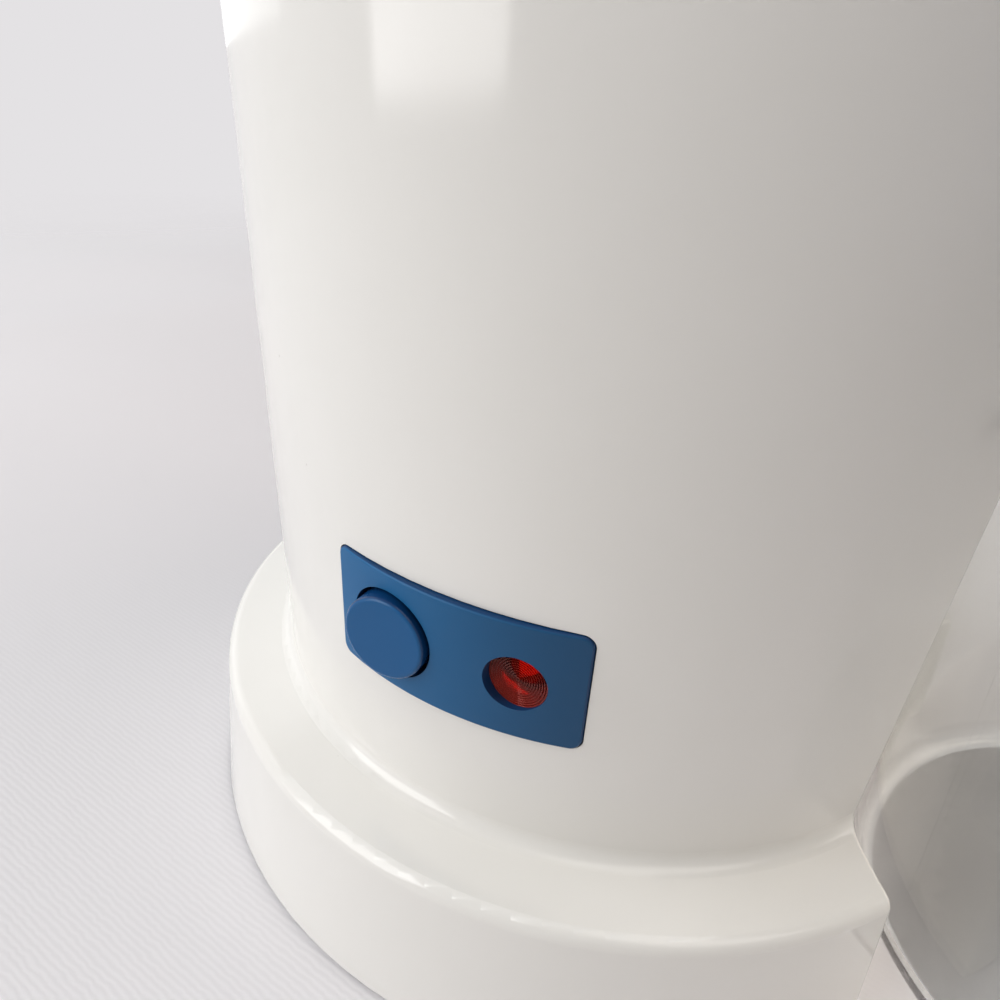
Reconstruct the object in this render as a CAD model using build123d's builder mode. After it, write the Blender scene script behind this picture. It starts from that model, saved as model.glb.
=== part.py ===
from build123d import *

import os
from math import atan2, cos, hypot, pi, radians, sin, sqrt, tan

# Iced tea maker. A round tower holds a water tank over a flow-through heater. An upright
# round nest is cut into the tower's right side (+X), and the pitcher stands in it with the
# steeping basket on its rim. The front is -Y, up is +Z, and lengths are in millimetres.

# ---------------------------------------------------------------- driving dimensions

# tower and flange
wall = 2.6                      # moulded shell thickness
junction_radius = 74.9          # tower wall where it meets the ledge
junction_height = 34.8
junction_round = 3.0
flare_angle = 2.52              # the tower widens upward by this much from upright
base_radius = 91.4              # flange at the table
rim_radius = 89.1               # flange at the edge of the ledge
rim_height = 33.1
rim_round = 2.5
skirt_lift = 1.0                # housing's lower edge above the table
housing_top = 276.0
nest_distance = 130.0           # tower axis to pitcher axis
nest_radius = 75.0
nest_edge_round = 1.0
nest_panel_half = 30.0          # half the width of the panel behind the pitcher
nest_panel_lap = 3.0            # its inner half laps behind the housing by this much

# clearances
moulded_gap = 0.2               # between moulded pieces of one assembly
parting_gap = 0.4               # visible line between two covers
slip = 0.1                      # tube or rod in its bore
pin_gap = 0.05                  # hinge pin in its knuckles
moving_gap = 0.5                # between pieces that move past each other
rest_gap = 0.3                  # under a lid that lies on its seat

# control panel
panel_width = 45.2
panel_height = 22.4
panel_mid_height = 70.75
panel_corner = 2.0
panel_proud = 1.1               # middle of the face in front of the tower's face
panel_bow_radius = 64.0         # the face is bowed more tightly than the tower
panel_edge_round = 0.5
panel_plate = 1.8               # flange behind the tower wall
panel_overlap = 3.0
control_height = 70.5           # button and lens centres
button_x = -10.6
lens_x = 11.9
button_hole_radius = 8.2
lens_hole_radius = 5.1
collar_wall = 1.8
collar_depth = 8.4              # collar's rear face behind the panel face

# button, switch and lamp
button_gap = 0.7
button_proud = 2.1
button_edge_round = 0.7
button_flange = 1.2             # wider than the cap
button_flange_plate = 1.7
button_travel = 2.5
button_rest_gap = 0.3           # flange to collar at rest
stem_radius = 2.4
stem_length = 12.0
spring_radius = 4.4
spring_wire = 0.55
spring_turns = 4.0
spring_end_gap = 0.15
switch_width = 16.0
switch_height = 14.0
switch_depth = 18.0
blade_width = 6.3
blade_thickness = 0.8
blade_length = 7.0
bracket_width = 76.0
bracket_height = 20.0
bracket_plate = 2.0
bracket_distance = 60.0         # bracket face in front of the tower axis
bracket_screw_x = 33.0
bracket_boss_radius = 3.2
lens_recess = 1.3
lens_flange_radius = 7.0
lens_flange_plate = 1.2
lens_ring_pitch = 0.42
lens_ring_depth = 0.16
lens_ring_count = 11
lamp_holder_wall = 1.4
lamp_radius = 2.9
lamp_length = 8.5
lamp_dome_round = 2.3
lamp_lead_radius = 0.4

# base plate, feet and screws
plate_bottom = 3.5
plate_thickness = 2.5
boss_radius = 3.6
boss_angles = (75, 150, 210, 285)
foot_ring_radius = 70.0
foot_angles = (50, 130, 230, 310)
foot_radius = 8.0
foot_stem_radius = 3.0
foot_head_radius = 4.2
foot_head_height = 1.6
foot_head_taper = 30.0
foot_edge_round = 0.5
screw_radius = 1.5
screw_head_radius = 2.9
screw_head_height = 1.5
screw_length = 10.0
vent_count = 5
vent_length = 44.0
vent_width = 3.0
vent_pitch = 8.0

# heater
heater_height = 40.0            # centre of the heater bar
heater_bar_width = 22.6
heater_bar_height = 12.4
heater_bend_radius = 27.0       # centre line of the bar
heater_bend_x = -20.0           # centre of the bend, from the tower axis
heater_leg_end_x = 14.0
tube_spacing = 5.3              # water tube and element, either side of the centre line
water_tube_radius = 4.1
water_tube_bore = 3.2
water_tube_end_x = 25.0
element_radius = 3.3
element_end_x = 22.0
heater_post_y = 46.0
heater_post_radius = 5.0
heater_post_x = -8.0
heater_bracket_width = 14.0
heater_sheet = 1.4
thermostat_radius = 7.5
thermostat_height = 6.0
thermostat_ear_span = 30.0
thermostat_screw_span = 22.5
thermostat_blade_span = 7.5
fuse_radius = 2.0
fuse_length = 11.0
fuse_sleeve = 0.8

# water path
tank_gap = 1.2                  # tank to housing
tank_wall = 2.0
tank_floor_height = 100.0
tank_floor = 2.6
tank_flange = 2.0
stub_length = 14.0
stub_bore = 5.6                 # diameter
riser_x = 40.0                  # riser and inlet stub, from the tower axis
hose_wall = 1.9
hose_overlap = 9.0
clamp_width = 5.0
clamp_thickness = 0.8
riser_level_drop = 6.0          # riser hose's upper corner below the tank's stub
riser_rise = 14.0               # between the riser hose's two upper corners
valve_length = 10.0
valve_ball_radius = 2.2
valve_seat_radius = 1.55
grommet_flange = 2.0
grommet_radius = 6.6

# spout
spout_height = 250.0            # centre of the arm
spout_width = 24.0
spout_depth = 16.0
spout_corner = 4.0
spout_end_round = 2.8
spout_reach = 79.0              # end of the arm, from the tower axis
nozzle_x = 71.0
nozzle_radius = 5.5
nozzle_drop = 5.0
nozzle_taper = 8.0
channel_radius = 3.5
nozzle_bore = 2.8               # radius
socket_radius = 6.6
socket_drop = 14.0
gasket_lip = 4.0

# top cover and tank lid
deck_top = 290.0
deck_plate = 3.0
deck_shoulder = 6.0
mouth_x = -18.0                 # centre of the filling mouth, from the tower axis
mouth_radius = 52.0
lid_seat_width = 4.5
lid_seat_depth = 2.6
collar_drop = 12.0
mouth_collar_wall = 2.2
lid_plate = 2.6
lid_plug_depth = 5.0
lid_plug_wall = 2.0
lid_crown = 2.0
lid_axis_back = 5.0             # hinge axis behind the seat
lid_axis_lift = 3.2             # hinge axis above the deck
knuckle_radius = 2.8
hinge_pin_radius = 1.2
lid_knuckle_width = 30.0
hinge_ear_width = 6.0
grip_length = 30.0
grip_width = 4.0
grip_height = 4.0

# pitcher
pitcher_foot_radius = 61.0
pitcher_rim_radius = 68.0
pitcher_height = 195.0
pitcher_wall = 2.5
pitcher_floor = 3.5
pitcher_foot_round = 6.0
lip_reach = 5.0                 # pouring lip beyond the rim
lip_low_radius = 10.0
lip_top_radius = 13.0
lip_foot_height = 160.0
handle_reach = 110.0            # outer face of the handle, from the pitcher axis
handle_top = 178.0
handle_bottom = 62.0
handle_width = 20.0
handle_thickness = 9.0
handle_bend = 18.0
handle_upright = 44.0           # straight stretch below the top bend
handle_lean = 9.0               # lower end set in by this much
handle_ease = 60.0              # bend where the lean starts
handle_round = 3.4

# steeping basket and its lid
drum_radius = 70.0
drum_wall = 2.2
drum_height = 26.0
basket_floor = 2.2
cup_gap = 2.2                   # cup to the pitcher's inside
cup_depth = 46.0
cup_draft = 2.0                 # cup narrows to its floor by this much
drain_radius = 4.5
basket_lid_plate = 2.6
basket_axis_reach = 74.5        # hinge axis from the pitcher axis
basket_axis_lift = 1.2          # hinge axis above the drum's rim
basket_knuckle_width = 24.0
basket_ear_width = 5.0
notch_width = 30.0              # lid opening under the nozzle
notch_depth = 25.0
basket_lid_crown = 2.4
grip_set_back = 38.0            # lid grip, from the pitcher axis
dial_radius = 22.0
dial_thickness = 1.6
dial_stem_radius = 3.0
dial_stem_height = 14.0
dial_knob_length = 18.0
dial_knob_width = 3.0
dial_knob_height = 5.0
drain_ring_radius = 13.0
drain_count = 3
step_width = 1.4                # ledge that carries the screen
screen_thickness = 0.8
screen_hole_radius = 1.8
screen_ring_count = 5
screen_first_ring = 12.0        # radius of the innermost ring of holes
screen_ring_pitch = 10.0
screen_first_holes = 8          # holes in the innermost ring
screen_more_holes = 6           # added by each further ring
pod_round = 1.2

# mains entry and leads
gland_height = 56.0
gland_radius = 6.0
gland_bore = 3.6
gland_clamp_bore = 4.5          # wider room for the cord's clamp, inside the wall
gland_reach = 9.0
gland_flange_radius = 9.0
gland_flange = 1.5
gland_groove_count = 3
gland_groove_pitch = 2.4
gland_groove_width = 1.0
gland_groove_depth = 0.9
terminal_length = 30.0
terminal_width = 12.0
terminal_height = 11.0
terminal_x = -38.0
lead_radius = 1.1
lead_bend = 7.0
corner_share = 0.45             # part of a straight run that its corner's arc may take

# ---------------------------------------------------------------- derived places

foot_edge_radius = base_radius + (rim_radius - base_radius) * skirt_lift / rim_height
overall_length = foot_edge_radius + nest_distance + handle_reach
tower_x = foot_edge_radius - overall_length / 2
pitcher_x = tower_x + nest_distance

tower_floor = Plane((tower_x, 0, 0))
pitcher_ground = Plane((pitcher_x, 0, 0))
# upright planes through each axis that face the front: x runs right, y runs up
tower_front = Plane(origin=(tower_x, 0, 0), x_dir=(1, 0, 0), z_dir=(0, -1, 0))
pitcher_front = Plane(origin=(pitcher_x, 0, 0), x_dir=(1, 0, 0), z_dir=(0, -1, 0))
# upright plane through the tower axis that faces the pitcher: x runs back, y runs up
tower_side = Plane(origin=(tower_x, 0, 0), x_dir=(0, 1, 0), z_dir=(1, 0, 0))
tower_axis = Axis((tower_x, 0, 0), (0, 0, 1))
pitcher_axis = Axis((pitcher_x, 0, 0), (0, 0, 1))

ledge_slope = atan2(junction_height - rim_height, rim_radius - junction_radius)


def tower_radius(height):
    """Outer radius of the tower wall."""
    return junction_radius + tan(radians(flare_angle)) * (height - junction_height)


def flange_radius(height):
    """Outer radius of the flange below the ledge."""
    return base_radius + (rim_radius - base_radius) * height / rim_height


def ring_point(radius, angle):
    """A point on a circle about the tower or pitcher axis, in that axis's own plane."""
    return (radius * cos(radians(angle)), radius * sin(radians(angle)))


def front_distance(inset, x, height):
    """How far in front of the tower axis the wall stands at a place across the front."""
    return sqrt((tower_radius(height) - inset) ** 2 - x**2)


def tower_column(inset, bottom, top, shoulder=0):
    """Outline of the tower above its ledge, moved in by inset, with the nest cut out."""
    with BuildPart() as column:
        with BuildSketch(tower_front):
            with BuildLine():
                Polyline(
                    (0, bottom),
                    (tower_radius(bottom) - inset, bottom),
                    (tower_radius(top) - inset, top),
                    (0, top),
                    close=True,
                )
            make_face()
            if shoulder:
                fillet(vertices().group_by(Axis.Y)[-1].sort_by(Axis.X)[-1], shoulder)
        revolve(axis=tower_axis)
        with BuildSketch(pitcher_ground.offset(bottom)):
            Circle(nest_radius + inset)
        extrude(amount=top - bottom, mode=Mode.SUBTRACT)
    return column.part


def skirted_column(inset, rim_fillet, junction_fillet):
    """Outline of the whole housing, moved in by inset, with its flange and sloping ledge."""
    drop = inset / cos(ledge_slope) - inset * tan(ledge_slope)
    with BuildPart() as column:
        with BuildSketch(tower_front):
            with BuildLine():
                outline = FilletPolyline(
                    (flange_radius(skirt_lift) - inset, skirt_lift),
                    (rim_radius - inset, rim_height - drop),
                    (junction_radius - inset, junction_height - drop),
                    (tower_radius(housing_top) - inset, housing_top),
                    radius=[rim_fillet, junction_fillet],
                )
                Polyline(outline @ 1, (0, housing_top), (0, skirt_lift), outline @ 0)
            make_face()
        revolve(axis=tower_axis)
        with BuildSketch(pitcher_ground.offset(skirt_lift)):
            Circle(nest_radius + inset)
        extrude(amount=housing_top - skirt_lift, mode=Mode.SUBTRACT)
    return column.part


def nest_layer(outer_inset, inner_inset, half_width):
    """An upright slice of the nest's curved wall, between two depths."""
    with BuildPart() as layer:
        with BuildSketch(pitcher_ground.offset(skirt_lift)):
            Circle(nest_radius + inner_inset)
            Circle(nest_radius + outer_inset, mode=Mode.SUBTRACT)
            with Locations((-nest_radius, 0)):
                Rectangle(nest_radius, 2 * half_width, mode=Mode.INTERSECT)
        extrude(amount=housing_top - skirt_lift)
    return layer.part


def nest_edges(part):
    """The upright edges where the nest meets the round wall."""
    nest_face = part.faces().filter_by(GeomType.CYLINDER).sort_by(SortBy.AREA)[-1]
    return [edge for edge in nest_face.edges() if edge.bounding_box().size.Z > pin_gap]


def save(builder, name):
    """Labels a finished piece and writes it."""
    builder.part.label = name
    export_step(builder.part, f"parts/{name}.step")


os.makedirs("parts", exist_ok=True)

# ---------------------------------------------------------------- housing

plate_top = plate_bottom + plate_thickness
boss_ring_radius = (junction_radius + flange_radius(plate_bottom)) / 2 - wall
panel_inner_inset = wall + moulded_gap + panel_plate
bracket_rear = bracket_distance - bracket_plate

outside = skirted_column(0, rim_round, junction_round)
inside = skirted_column(wall, rim_round / 4, junction_round + wall)
half_wall_shape = skirted_column(wall / 2, rim_round / 2, junction_round + wall / 2)

with BuildPart() as bracket_bosses:
    with BuildSketch(tower_front.offset(bracket_distance)):
        with Locations((-bracket_screw_x, control_height), (bracket_screw_x, control_height)):
            Circle(bracket_boss_radius)
            Circle(screw_radius, mode=Mode.SUBTRACT)
    extrude(amount=tower_radius(control_height) - bracket_distance)
    add(half_wall_shape, mode=Mode.INTERSECT)

# bosses under the ledge for the base plate's screws
with BuildPart() as plate_bosses:
    with BuildSketch(tower_floor.offset(plate_top)):
        for angle in boss_angles:
            with Locations(ring_point(boss_ring_radius, angle)):
                Circle(boss_radius)
    extrude(amount=junction_height - plate_top)
    add(half_wall_shape, mode=Mode.INTERSECT)

with BuildPart() as housing:
    add(outside)
    fillet(nest_edges(housing), nest_edge_round)
    add(inside, mode=Mode.SUBTRACT)
    add(plate_bosses.part)
    with BuildSketch(tower_floor.offset(plate_top)):
        for angle in boss_angles:
            with Locations(ring_point(boss_ring_radius, angle)):
                Circle(screw_radius)
    extrude(amount=screw_length, mode=Mode.SUBTRACT)
    add(bracket_bosses.part)
    # window for the control panel
    with BuildSketch(tower_front.offset(bracket_distance)):
        with Locations((0, panel_mid_height)):
            RectangleRounded(
                panel_width + 2 * moulded_gap, panel_height + 2 * moulded_gap, panel_corner + moulded_gap
            )
    extrude(amount=base_radius - bracket_distance, mode=Mode.SUBTRACT)
    # stepped opening for the nest panel
    add(nest_layer(-wall, wall / 2, nest_panel_half + moulded_gap), mode=Mode.SUBTRACT)
    add(
        nest_layer(wall / 2 - moulded_gap, 2 * wall, nest_panel_half + nest_panel_lap + moulded_gap),
        mode=Mode.SUBTRACT,
    )
    # hole in the back for the mains gland
    with BuildSketch(tower_front.offset(-junction_radius / 2)):
        with Locations((0, gland_height)):
            Circle(gland_radius + slip)
    extrude(amount=-base_radius, mode=Mode.SUBTRACT)
save(housing, "housing")

with BuildPart() as nest_panel:
    add(nest_layer(0, wall, nest_panel_half))
    add(nest_layer(wall / 2, wall, nest_panel_half + nest_panel_lap))
    with BuildSketch(tower_side.offset(riser_x)):
        with Locations((0, spout_height)):
            RectangleRounded(
                spout_width + 2 * moulded_gap, spout_depth + 2 * moulded_gap, spout_corner + moulded_gap
            )
    extrude(amount=spout_reach - riser_x, mode=Mode.SUBTRACT)
save(nest_panel, "nest_panel")

# ---------------------------------------------------------------- base plate, feet, screws

with BuildPart() as base_plate:
    with BuildSketch(tower_floor.offset(plate_bottom)):
        Circle(flange_radius(plate_top) - wall - moulded_gap)
        with Locations((nest_distance, 0)):
            Circle(nest_radius + wall + moulded_gap, mode=Mode.SUBTRACT)
        for angle in boss_angles:
            with Locations(ring_point(boss_ring_radius, angle)):
                Circle(screw_radius + slip, mode=Mode.SUBTRACT)
        for angle in foot_angles:
            with Locations(ring_point(foot_ring_radius, angle)):
                Circle(foot_stem_radius + slip, mode=Mode.SUBTRACT)
        with GridLocations(vent_pitch, 0, vent_count, 1):
            SlotOverall(vent_length, vent_width, rotation=90, mode=Mode.SUBTRACT)
    extrude(amount=plate_thickness)
    # posts that carry the heater bracket
    heater_underside = heater_height - heater_bar_height / 2
    post_top = heater_underside - heater_sheet
    with BuildSketch(tower_floor.offset(plate_top)):
        with Locations((heater_post_x, -heater_post_y), (heater_post_x, heater_post_y)):
            Circle(heater_post_radius)
            Circle(screw_radius, mode=Mode.SUBTRACT)
    extrude(amount=post_top - plate_top)
save(base_plate, "base_plate")


def pan_screw(length):
    """A pan head screw with a cross recess, standing on its head at the origin."""
    shank = screw_radius - slip
    with BuildPart() as screw:
        with BuildSketch(Plane.XZ):
            with BuildLine():
                Line((0, 0), (screw_head_radius - screw_head_height / 2, 0))
                edge = JernArc(
                    (screw_head_radius - screw_head_height / 2, 0), (1, 0), screw_head_height / 2, 90
                )
                Polyline(
                    edge @ 1,
                    (screw_head_radius, screw_head_height),
                    (shank, screw_head_height),
                    (shank, screw_head_height + length - shank),
                    (0, screw_head_height + length),
                    (0, 0),
                )
            make_face()
        revolve(axis=Axis.Z)
        with BuildSketch(Plane.XY):
            Rectangle(screw_head_radius, screw_radius / 2)
            Rectangle(screw_radius / 2, screw_head_radius)
        extrude(amount=screw_head_height / 2, mode=Mode.SUBTRACT)
    return screw.part


base_screw = pan_screw(screw_length)
with BuildPart() as base_screws:
    for angle in boss_angles:
        x, y = ring_point(boss_ring_radius, angle)
        with Locations((tower_x + x, y, plate_bottom - screw_head_height)):
            add(base_screw)
save(base_screws, "base_screws")

with BuildPart() as feet:
    for angle in foot_angles:
        with BuildSketch(tower_floor):
            with Locations(ring_point(foot_ring_radius, angle)):
                Circle(foot_radius)
        extrude(amount=plate_bottom)
        with BuildSketch(tower_floor.offset(plate_bottom)):
            with Locations(ring_point(foot_ring_radius, angle)):
                Circle(foot_stem_radius)
        extrude(amount=plate_thickness)
        with BuildSketch(tower_floor.offset(plate_top)):
            with Locations(ring_point(foot_ring_radius, angle)):
                Circle(foot_head_radius)
        extrude(amount=foot_head_height, taper=foot_head_taper)
    fillet(feet.edges().group_by(Axis.Z)[0], foot_edge_round)
save(feet, "feet")

# ---------------------------------------------------------------- control panel


def panel_front(x):
    """How far in front of the tower axis the bowed face stands at a place across it."""
    bow = panel_bow_radius - sqrt(panel_bow_radius**2 - x**2)
    return tower_radius(control_height) + panel_proud - bow


panel_face_at_button = panel_front(button_x)
panel_face_at_lens = panel_front(lens_x)
collar_rear = panel_face_at_button - collar_depth
collar_radius = button_hole_radius + collar_wall
clamp_post_radius = collar_wall
clamp_post_offset = panel_height / 2 - clamp_post_radius
panel_low = panel_mid_height - panel_height
panel_high = panel_mid_height + panel_height
panel_rear_shape = tower_column(wall + moulded_gap, panel_low, panel_high)
bow_centre = tower_radius(panel_mid_height) + panel_proud - panel_bow_radius

with BuildPart() as bowed_column:
    with BuildSketch(tower_front.offset(bow_centre)):
        with BuildLine():
            Polyline(
                (0, panel_low),
                (tower_radius(panel_low) + panel_proud - bow_centre, panel_low),
                (tower_radius(panel_high) + panel_proud - bow_centre, panel_high),
                (0, panel_high),
                close=True,
            )
        make_face()
    revolve(axis=Axis((tower_x, -bow_centre, 0), (0, 0, 1)))


def panel_layer(front_shape, margin):
    """A plate inside the window's outline, its front cut to a given shape."""
    with BuildPart() as layer:
        with BuildSketch(tower_front.offset(bracket_distance)):
            with Locations((0, panel_mid_height)):
                RectangleRounded(
                    panel_width + 2 * margin, panel_height + 2 * margin, panel_corner + margin
                )
        extrude(amount=base_radius - bracket_distance)
        add(front_shape, mode=Mode.INTERSECT)
        add(tower_column(panel_inner_inset, panel_low, panel_high), mode=Mode.SUBTRACT)
    return layer.part


with BuildPart() as panel_collars:
    with BuildSketch(tower_front.offset(collar_rear)):
        with Locations((button_x, control_height)):
            Circle(collar_radius)
    extrude(amount=base_radius - collar_rear)
    with BuildSketch(tower_front.offset(bracket_distance)):
        with Locations((0, panel_mid_height)):
            with GridLocations(0, 2 * clamp_post_offset, 1, 2):
                Circle(clamp_post_radius)
    extrude(amount=base_radius - bracket_distance)
    add(panel_rear_shape, mode=Mode.INTERSECT)

with BuildPart() as control_panel:
    add(panel_layer(bowed_column.part, 0))
    face_edges = control_panel.faces().sort_by(Axis.Y)[0].edges()
    fillet(face_edges, panel_edge_round)
    add(panel_layer(panel_rear_shape, panel_overlap))
    add(panel_collars.part)
    with BuildSketch(tower_front.offset(bracket_distance)):
        with Locations((button_x, control_height)):
            Circle(button_hole_radius)
        with Locations((lens_x, control_height)):
            Circle(lens_hole_radius)
    extrude(amount=base_radius - bracket_distance, mode=Mode.SUBTRACT)
save(control_panel, "control_panel")

# ---------------------------------------------------------------- button and its switch

button_face = panel_face_at_button + button_proud
button_radius = button_hole_radius - button_gap
button_flange_front = collar_rear - button_rest_gap
button_flange_rear = button_flange_front - button_flange_plate
stem_end = button_flange_rear - stem_length
button_place = tower_front.offset(button_flange_rear)

with BuildPart() as push_button:
    with BuildSketch(button_place):
        with Locations((button_x, control_height)):
            Circle(button_radius + button_flange)
    extrude(amount=button_flange_plate)
    with BuildSketch(button_place):
        with Locations((button_x, control_height)):
            Circle(button_radius)
    extrude(amount=button_face - button_flange_rear)
    fillet(push_button.edges().group_by(Axis.Y)[0], button_edge_round)
    with BuildSketch(button_place):
        with Locations((button_x, control_height)):
            Circle(stem_radius)
    extrude(amount=-stem_length)
save(push_button, "push_button")

spring_length = button_flange_rear - bracket_distance - 2 * spring_end_gap - spring_wire
spring_start = bracket_distance + spring_end_gap + spring_wire / 2
spring_place = Plane(
    origin=(tower_x + button_x, -spring_start, control_height), x_dir=(1, 0, 0), z_dir=(0, -1, 0)
)
with BuildPart() as button_spring:
    with BuildLine(spring_place):
        coil = Helix(spring_length / spring_turns, spring_length, spring_radius, direction=(0, -1, 0))
    with BuildSketch(Plane(origin=coil @ 0, z_dir=coil % 0)):
        Circle(spring_wire / 2)
    sweep(path=coil, is_frenet=True)
save(button_spring, "button_spring")

with BuildPart() as power_switch:
    with BuildSketch(tower_front.offset(bracket_rear)):
        with Locations((button_x, control_height)):
            Rectangle(switch_width, switch_height)
    extrude(amount=-switch_depth)
    fillet(power_switch.edges().filter_by(Axis.Y), button_edge_round)
    with BuildSketch(tower_front.offset(bracket_rear)):
        with Locations((button_x, control_height)):
            Circle(stem_radius + moving_gap)
    extrude(amount=stem_end - button_travel - moving_gap - bracket_rear, mode=Mode.SUBTRACT)
    # solder blades
    with BuildSketch(tower_front.offset(bracket_rear - switch_depth)):
        with Locations((button_x, control_height)):
            with GridLocations(0, switch_height / 2, 1, 2):
                Rectangle(blade_width, blade_thickness)
    extrude(amount=-blade_length)
save(power_switch, "power_switch")

# ---------------------------------------------------------------- indicator

lens_face = panel_face_at_lens - lens_recess
lens_rear = front_distance(panel_inner_inset, lens_x + lens_flange_radius, control_height) - slip
lens_front_radius = lens_hole_radius - slip
lens_place = Plane(
    origin=(tower_x + lens_x, -lens_rear, control_height), x_dir=(1, 0, 0), z_dir=(0, -1, 0)
)
lens_flange_front = lens_rear - lens_flange_plate

with BuildPart() as indicator_lens:
    with BuildSketch(Plane(origin=lens_place.origin, x_dir=(1, 0, 0), z_dir=(0, 0, 1))):
        with BuildLine():
            # one ridge for each ring, from the rim inward
            rings = [(lens_front_radius, -(lens_face - lens_rear))]
            for ring in range(lens_ring_count):
                outer = lens_front_radius - ring * lens_ring_pitch
                rings.append((outer - lens_ring_pitch, -(lens_face - lens_rear) + lens_ring_depth))
                rings.append((outer - lens_ring_pitch, -(lens_face - lens_rear)))
            Polyline(
                *rings,
                (0, -(lens_face - lens_rear)),
                (0, lens_flange_plate),
                (lens_flange_radius, lens_flange_plate),
                (lens_flange_radius, 0),
                (lens_front_radius, 0),
                close=True,
            )
        make_face()
    revolve(axis=Axis(lens_place.origin, (0, 1, 0)))
save(indicator_lens, "indicator_lens")

holder_radius = lens_front_radius
with BuildPart() as lamp_holder:
    with BuildSketch(tower_front.offset(lens_flange_front)):
        with Locations((lens_x, control_height)):
            Circle(holder_radius)
            Circle(holder_radius - lamp_holder_wall, mode=Mode.SUBTRACT)
    extrude(amount=-(lens_flange_front - bracket_rear))
    with BuildSketch(tower_front.offset(bracket_rear)):
        with Locations((lens_x, control_height)):
            Circle(holder_radius)
            with GridLocations(lamp_radius, 0, 2, 1):
                Circle(lamp_lead_radius + slip, mode=Mode.SUBTRACT)
    extrude(amount=-bracket_plate)
save(lamp_holder, "lamp_holder")

with BuildPart() as neon_lamp:
    with BuildSketch(tower_front.offset(bracket_rear)):
        with Locations((lens_x, control_height)):
            Circle(lamp_radius)
    extrude(amount=lamp_length)
    fillet(neon_lamp.edges().group_by(Axis.Y)[0], lamp_dome_round)
    with BuildSketch(tower_front.offset(bracket_rear)):
        with Locations((lens_x, control_height)):
            with GridLocations(lamp_radius, 0, 2, 1):
                Circle(lamp_lead_radius)
    extrude(amount=-(bracket_plate + blade_length))
save(neon_lamp, "neon_lamp")

with BuildPart() as switch_bracket:
    with BuildSketch(tower_front.offset(bracket_distance)):
        with Locations((0, control_height)):
            RectangleRounded(bracket_width, bracket_height, panel_corner)
        with Locations((button_x, control_height)):
            Circle(stem_radius + moving_gap, mode=Mode.SUBTRACT)
        with Locations((lens_x, control_height)):
            Circle(holder_radius + slip, mode=Mode.SUBTRACT)
        with Locations((-bracket_screw_x, control_height), (bracket_screw_x, control_height)):
            Circle(screw_radius + slip, mode=Mode.SUBTRACT)
    extrude(amount=-bracket_plate)
save(switch_bracket, "switch_bracket")

bracket_screw = pan_screw(bracket_plate + screw_length / 2)
with BuildPart() as bracket_screws:
    for x in (-bracket_screw_x, bracket_screw_x):
        with Locations(
            Location((tower_x + x, -(bracket_rear - screw_head_height), control_height), (90, 0, 0))
        ):
            add(bracket_screw)
save(bracket_screws, "bracket_screws")

# ---------------------------------------------------------------- heater

heater_level = Plane((tower_x, 0, heater_height))


def horseshoe(radius, end_x):
    """Path along one leg, round the bend and back along the other leg."""
    with BuildLine(heater_level) as path:
        Line((end_x, -radius), (heater_bend_x, -radius))
        CenterArc((heater_bend_x, 0), radius, 270, -180)
        Line((heater_bend_x, radius), (end_x, radius))
    return path.line


def leg_section(end_x, radius):
    """Plane across the front leg's end."""
    return Plane(
        origin=(tower_x + end_x, -radius, heater_height), x_dir=(0, 1, 0), z_dir=(-1, 0, 0)
    )


def horseshoe_rod(radius, end_x, rod_radius, bore_radius=0):
    """A round rod or tube bent to the horseshoe."""
    with BuildPart() as rod:
        with BuildSketch(leg_section(end_x, radius)):
            Circle(rod_radius)
            if bore_radius:
                Circle(bore_radius, mode=Mode.SUBTRACT)
        sweep(path=horseshoe(radius, end_x))
    return rod.part


water_bend_radius = heater_bend_radius + tube_spacing
element_bend_radius = heater_bend_radius - tube_spacing

with BuildPart() as heater_bar:
    with BuildSketch(leg_section(heater_leg_end_x, heater_bend_radius)):
        SlotOverall(heater_bar_width, heater_bar_height)
    sweep(path=horseshoe(heater_bend_radius, heater_leg_end_x))
    add(
        horseshoe_rod(water_bend_radius, heater_leg_end_x, water_tube_radius + slip),
        mode=Mode.SUBTRACT,
    )
    add(
        horseshoe_rod(element_bend_radius, heater_leg_end_x, element_radius + slip),
        mode=Mode.SUBTRACT,
    )
save(heater_bar, "heater_bar")

with BuildPart() as water_tube:
    add(horseshoe_rod(water_bend_radius, water_tube_end_x, water_tube_radius, water_tube_bore))
save(water_tube, "water_tube")

with BuildPart() as heating_element:
    add(horseshoe_rod(element_bend_radius, element_end_x, element_radius))
    # connector blades on both cold ends
    with BuildSketch(tower_side.offset(element_end_x)):
        with Locations((-element_bend_radius, heater_height), (element_bend_radius, heater_height)):
            Rectangle(blade_thickness, blade_width)
    extrude(amount=blade_length)
save(heating_element, "heating_element")

bracket_reach = heater_post_y + heater_post_radius
with BuildPart() as heater_bracket:
    with BuildSketch(tower_floor.offset(post_top)):
        with Locations((heater_post_x, 0)):
            Rectangle(heater_bracket_width, 2 * bracket_reach)
        with Locations((heater_post_x, -heater_post_y), (heater_post_x, heater_post_y)):
            Circle(screw_radius + slip, mode=Mode.SUBTRACT)
    extrude(amount=heater_sheet)
save(heater_bracket, "heater_bracket")

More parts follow.
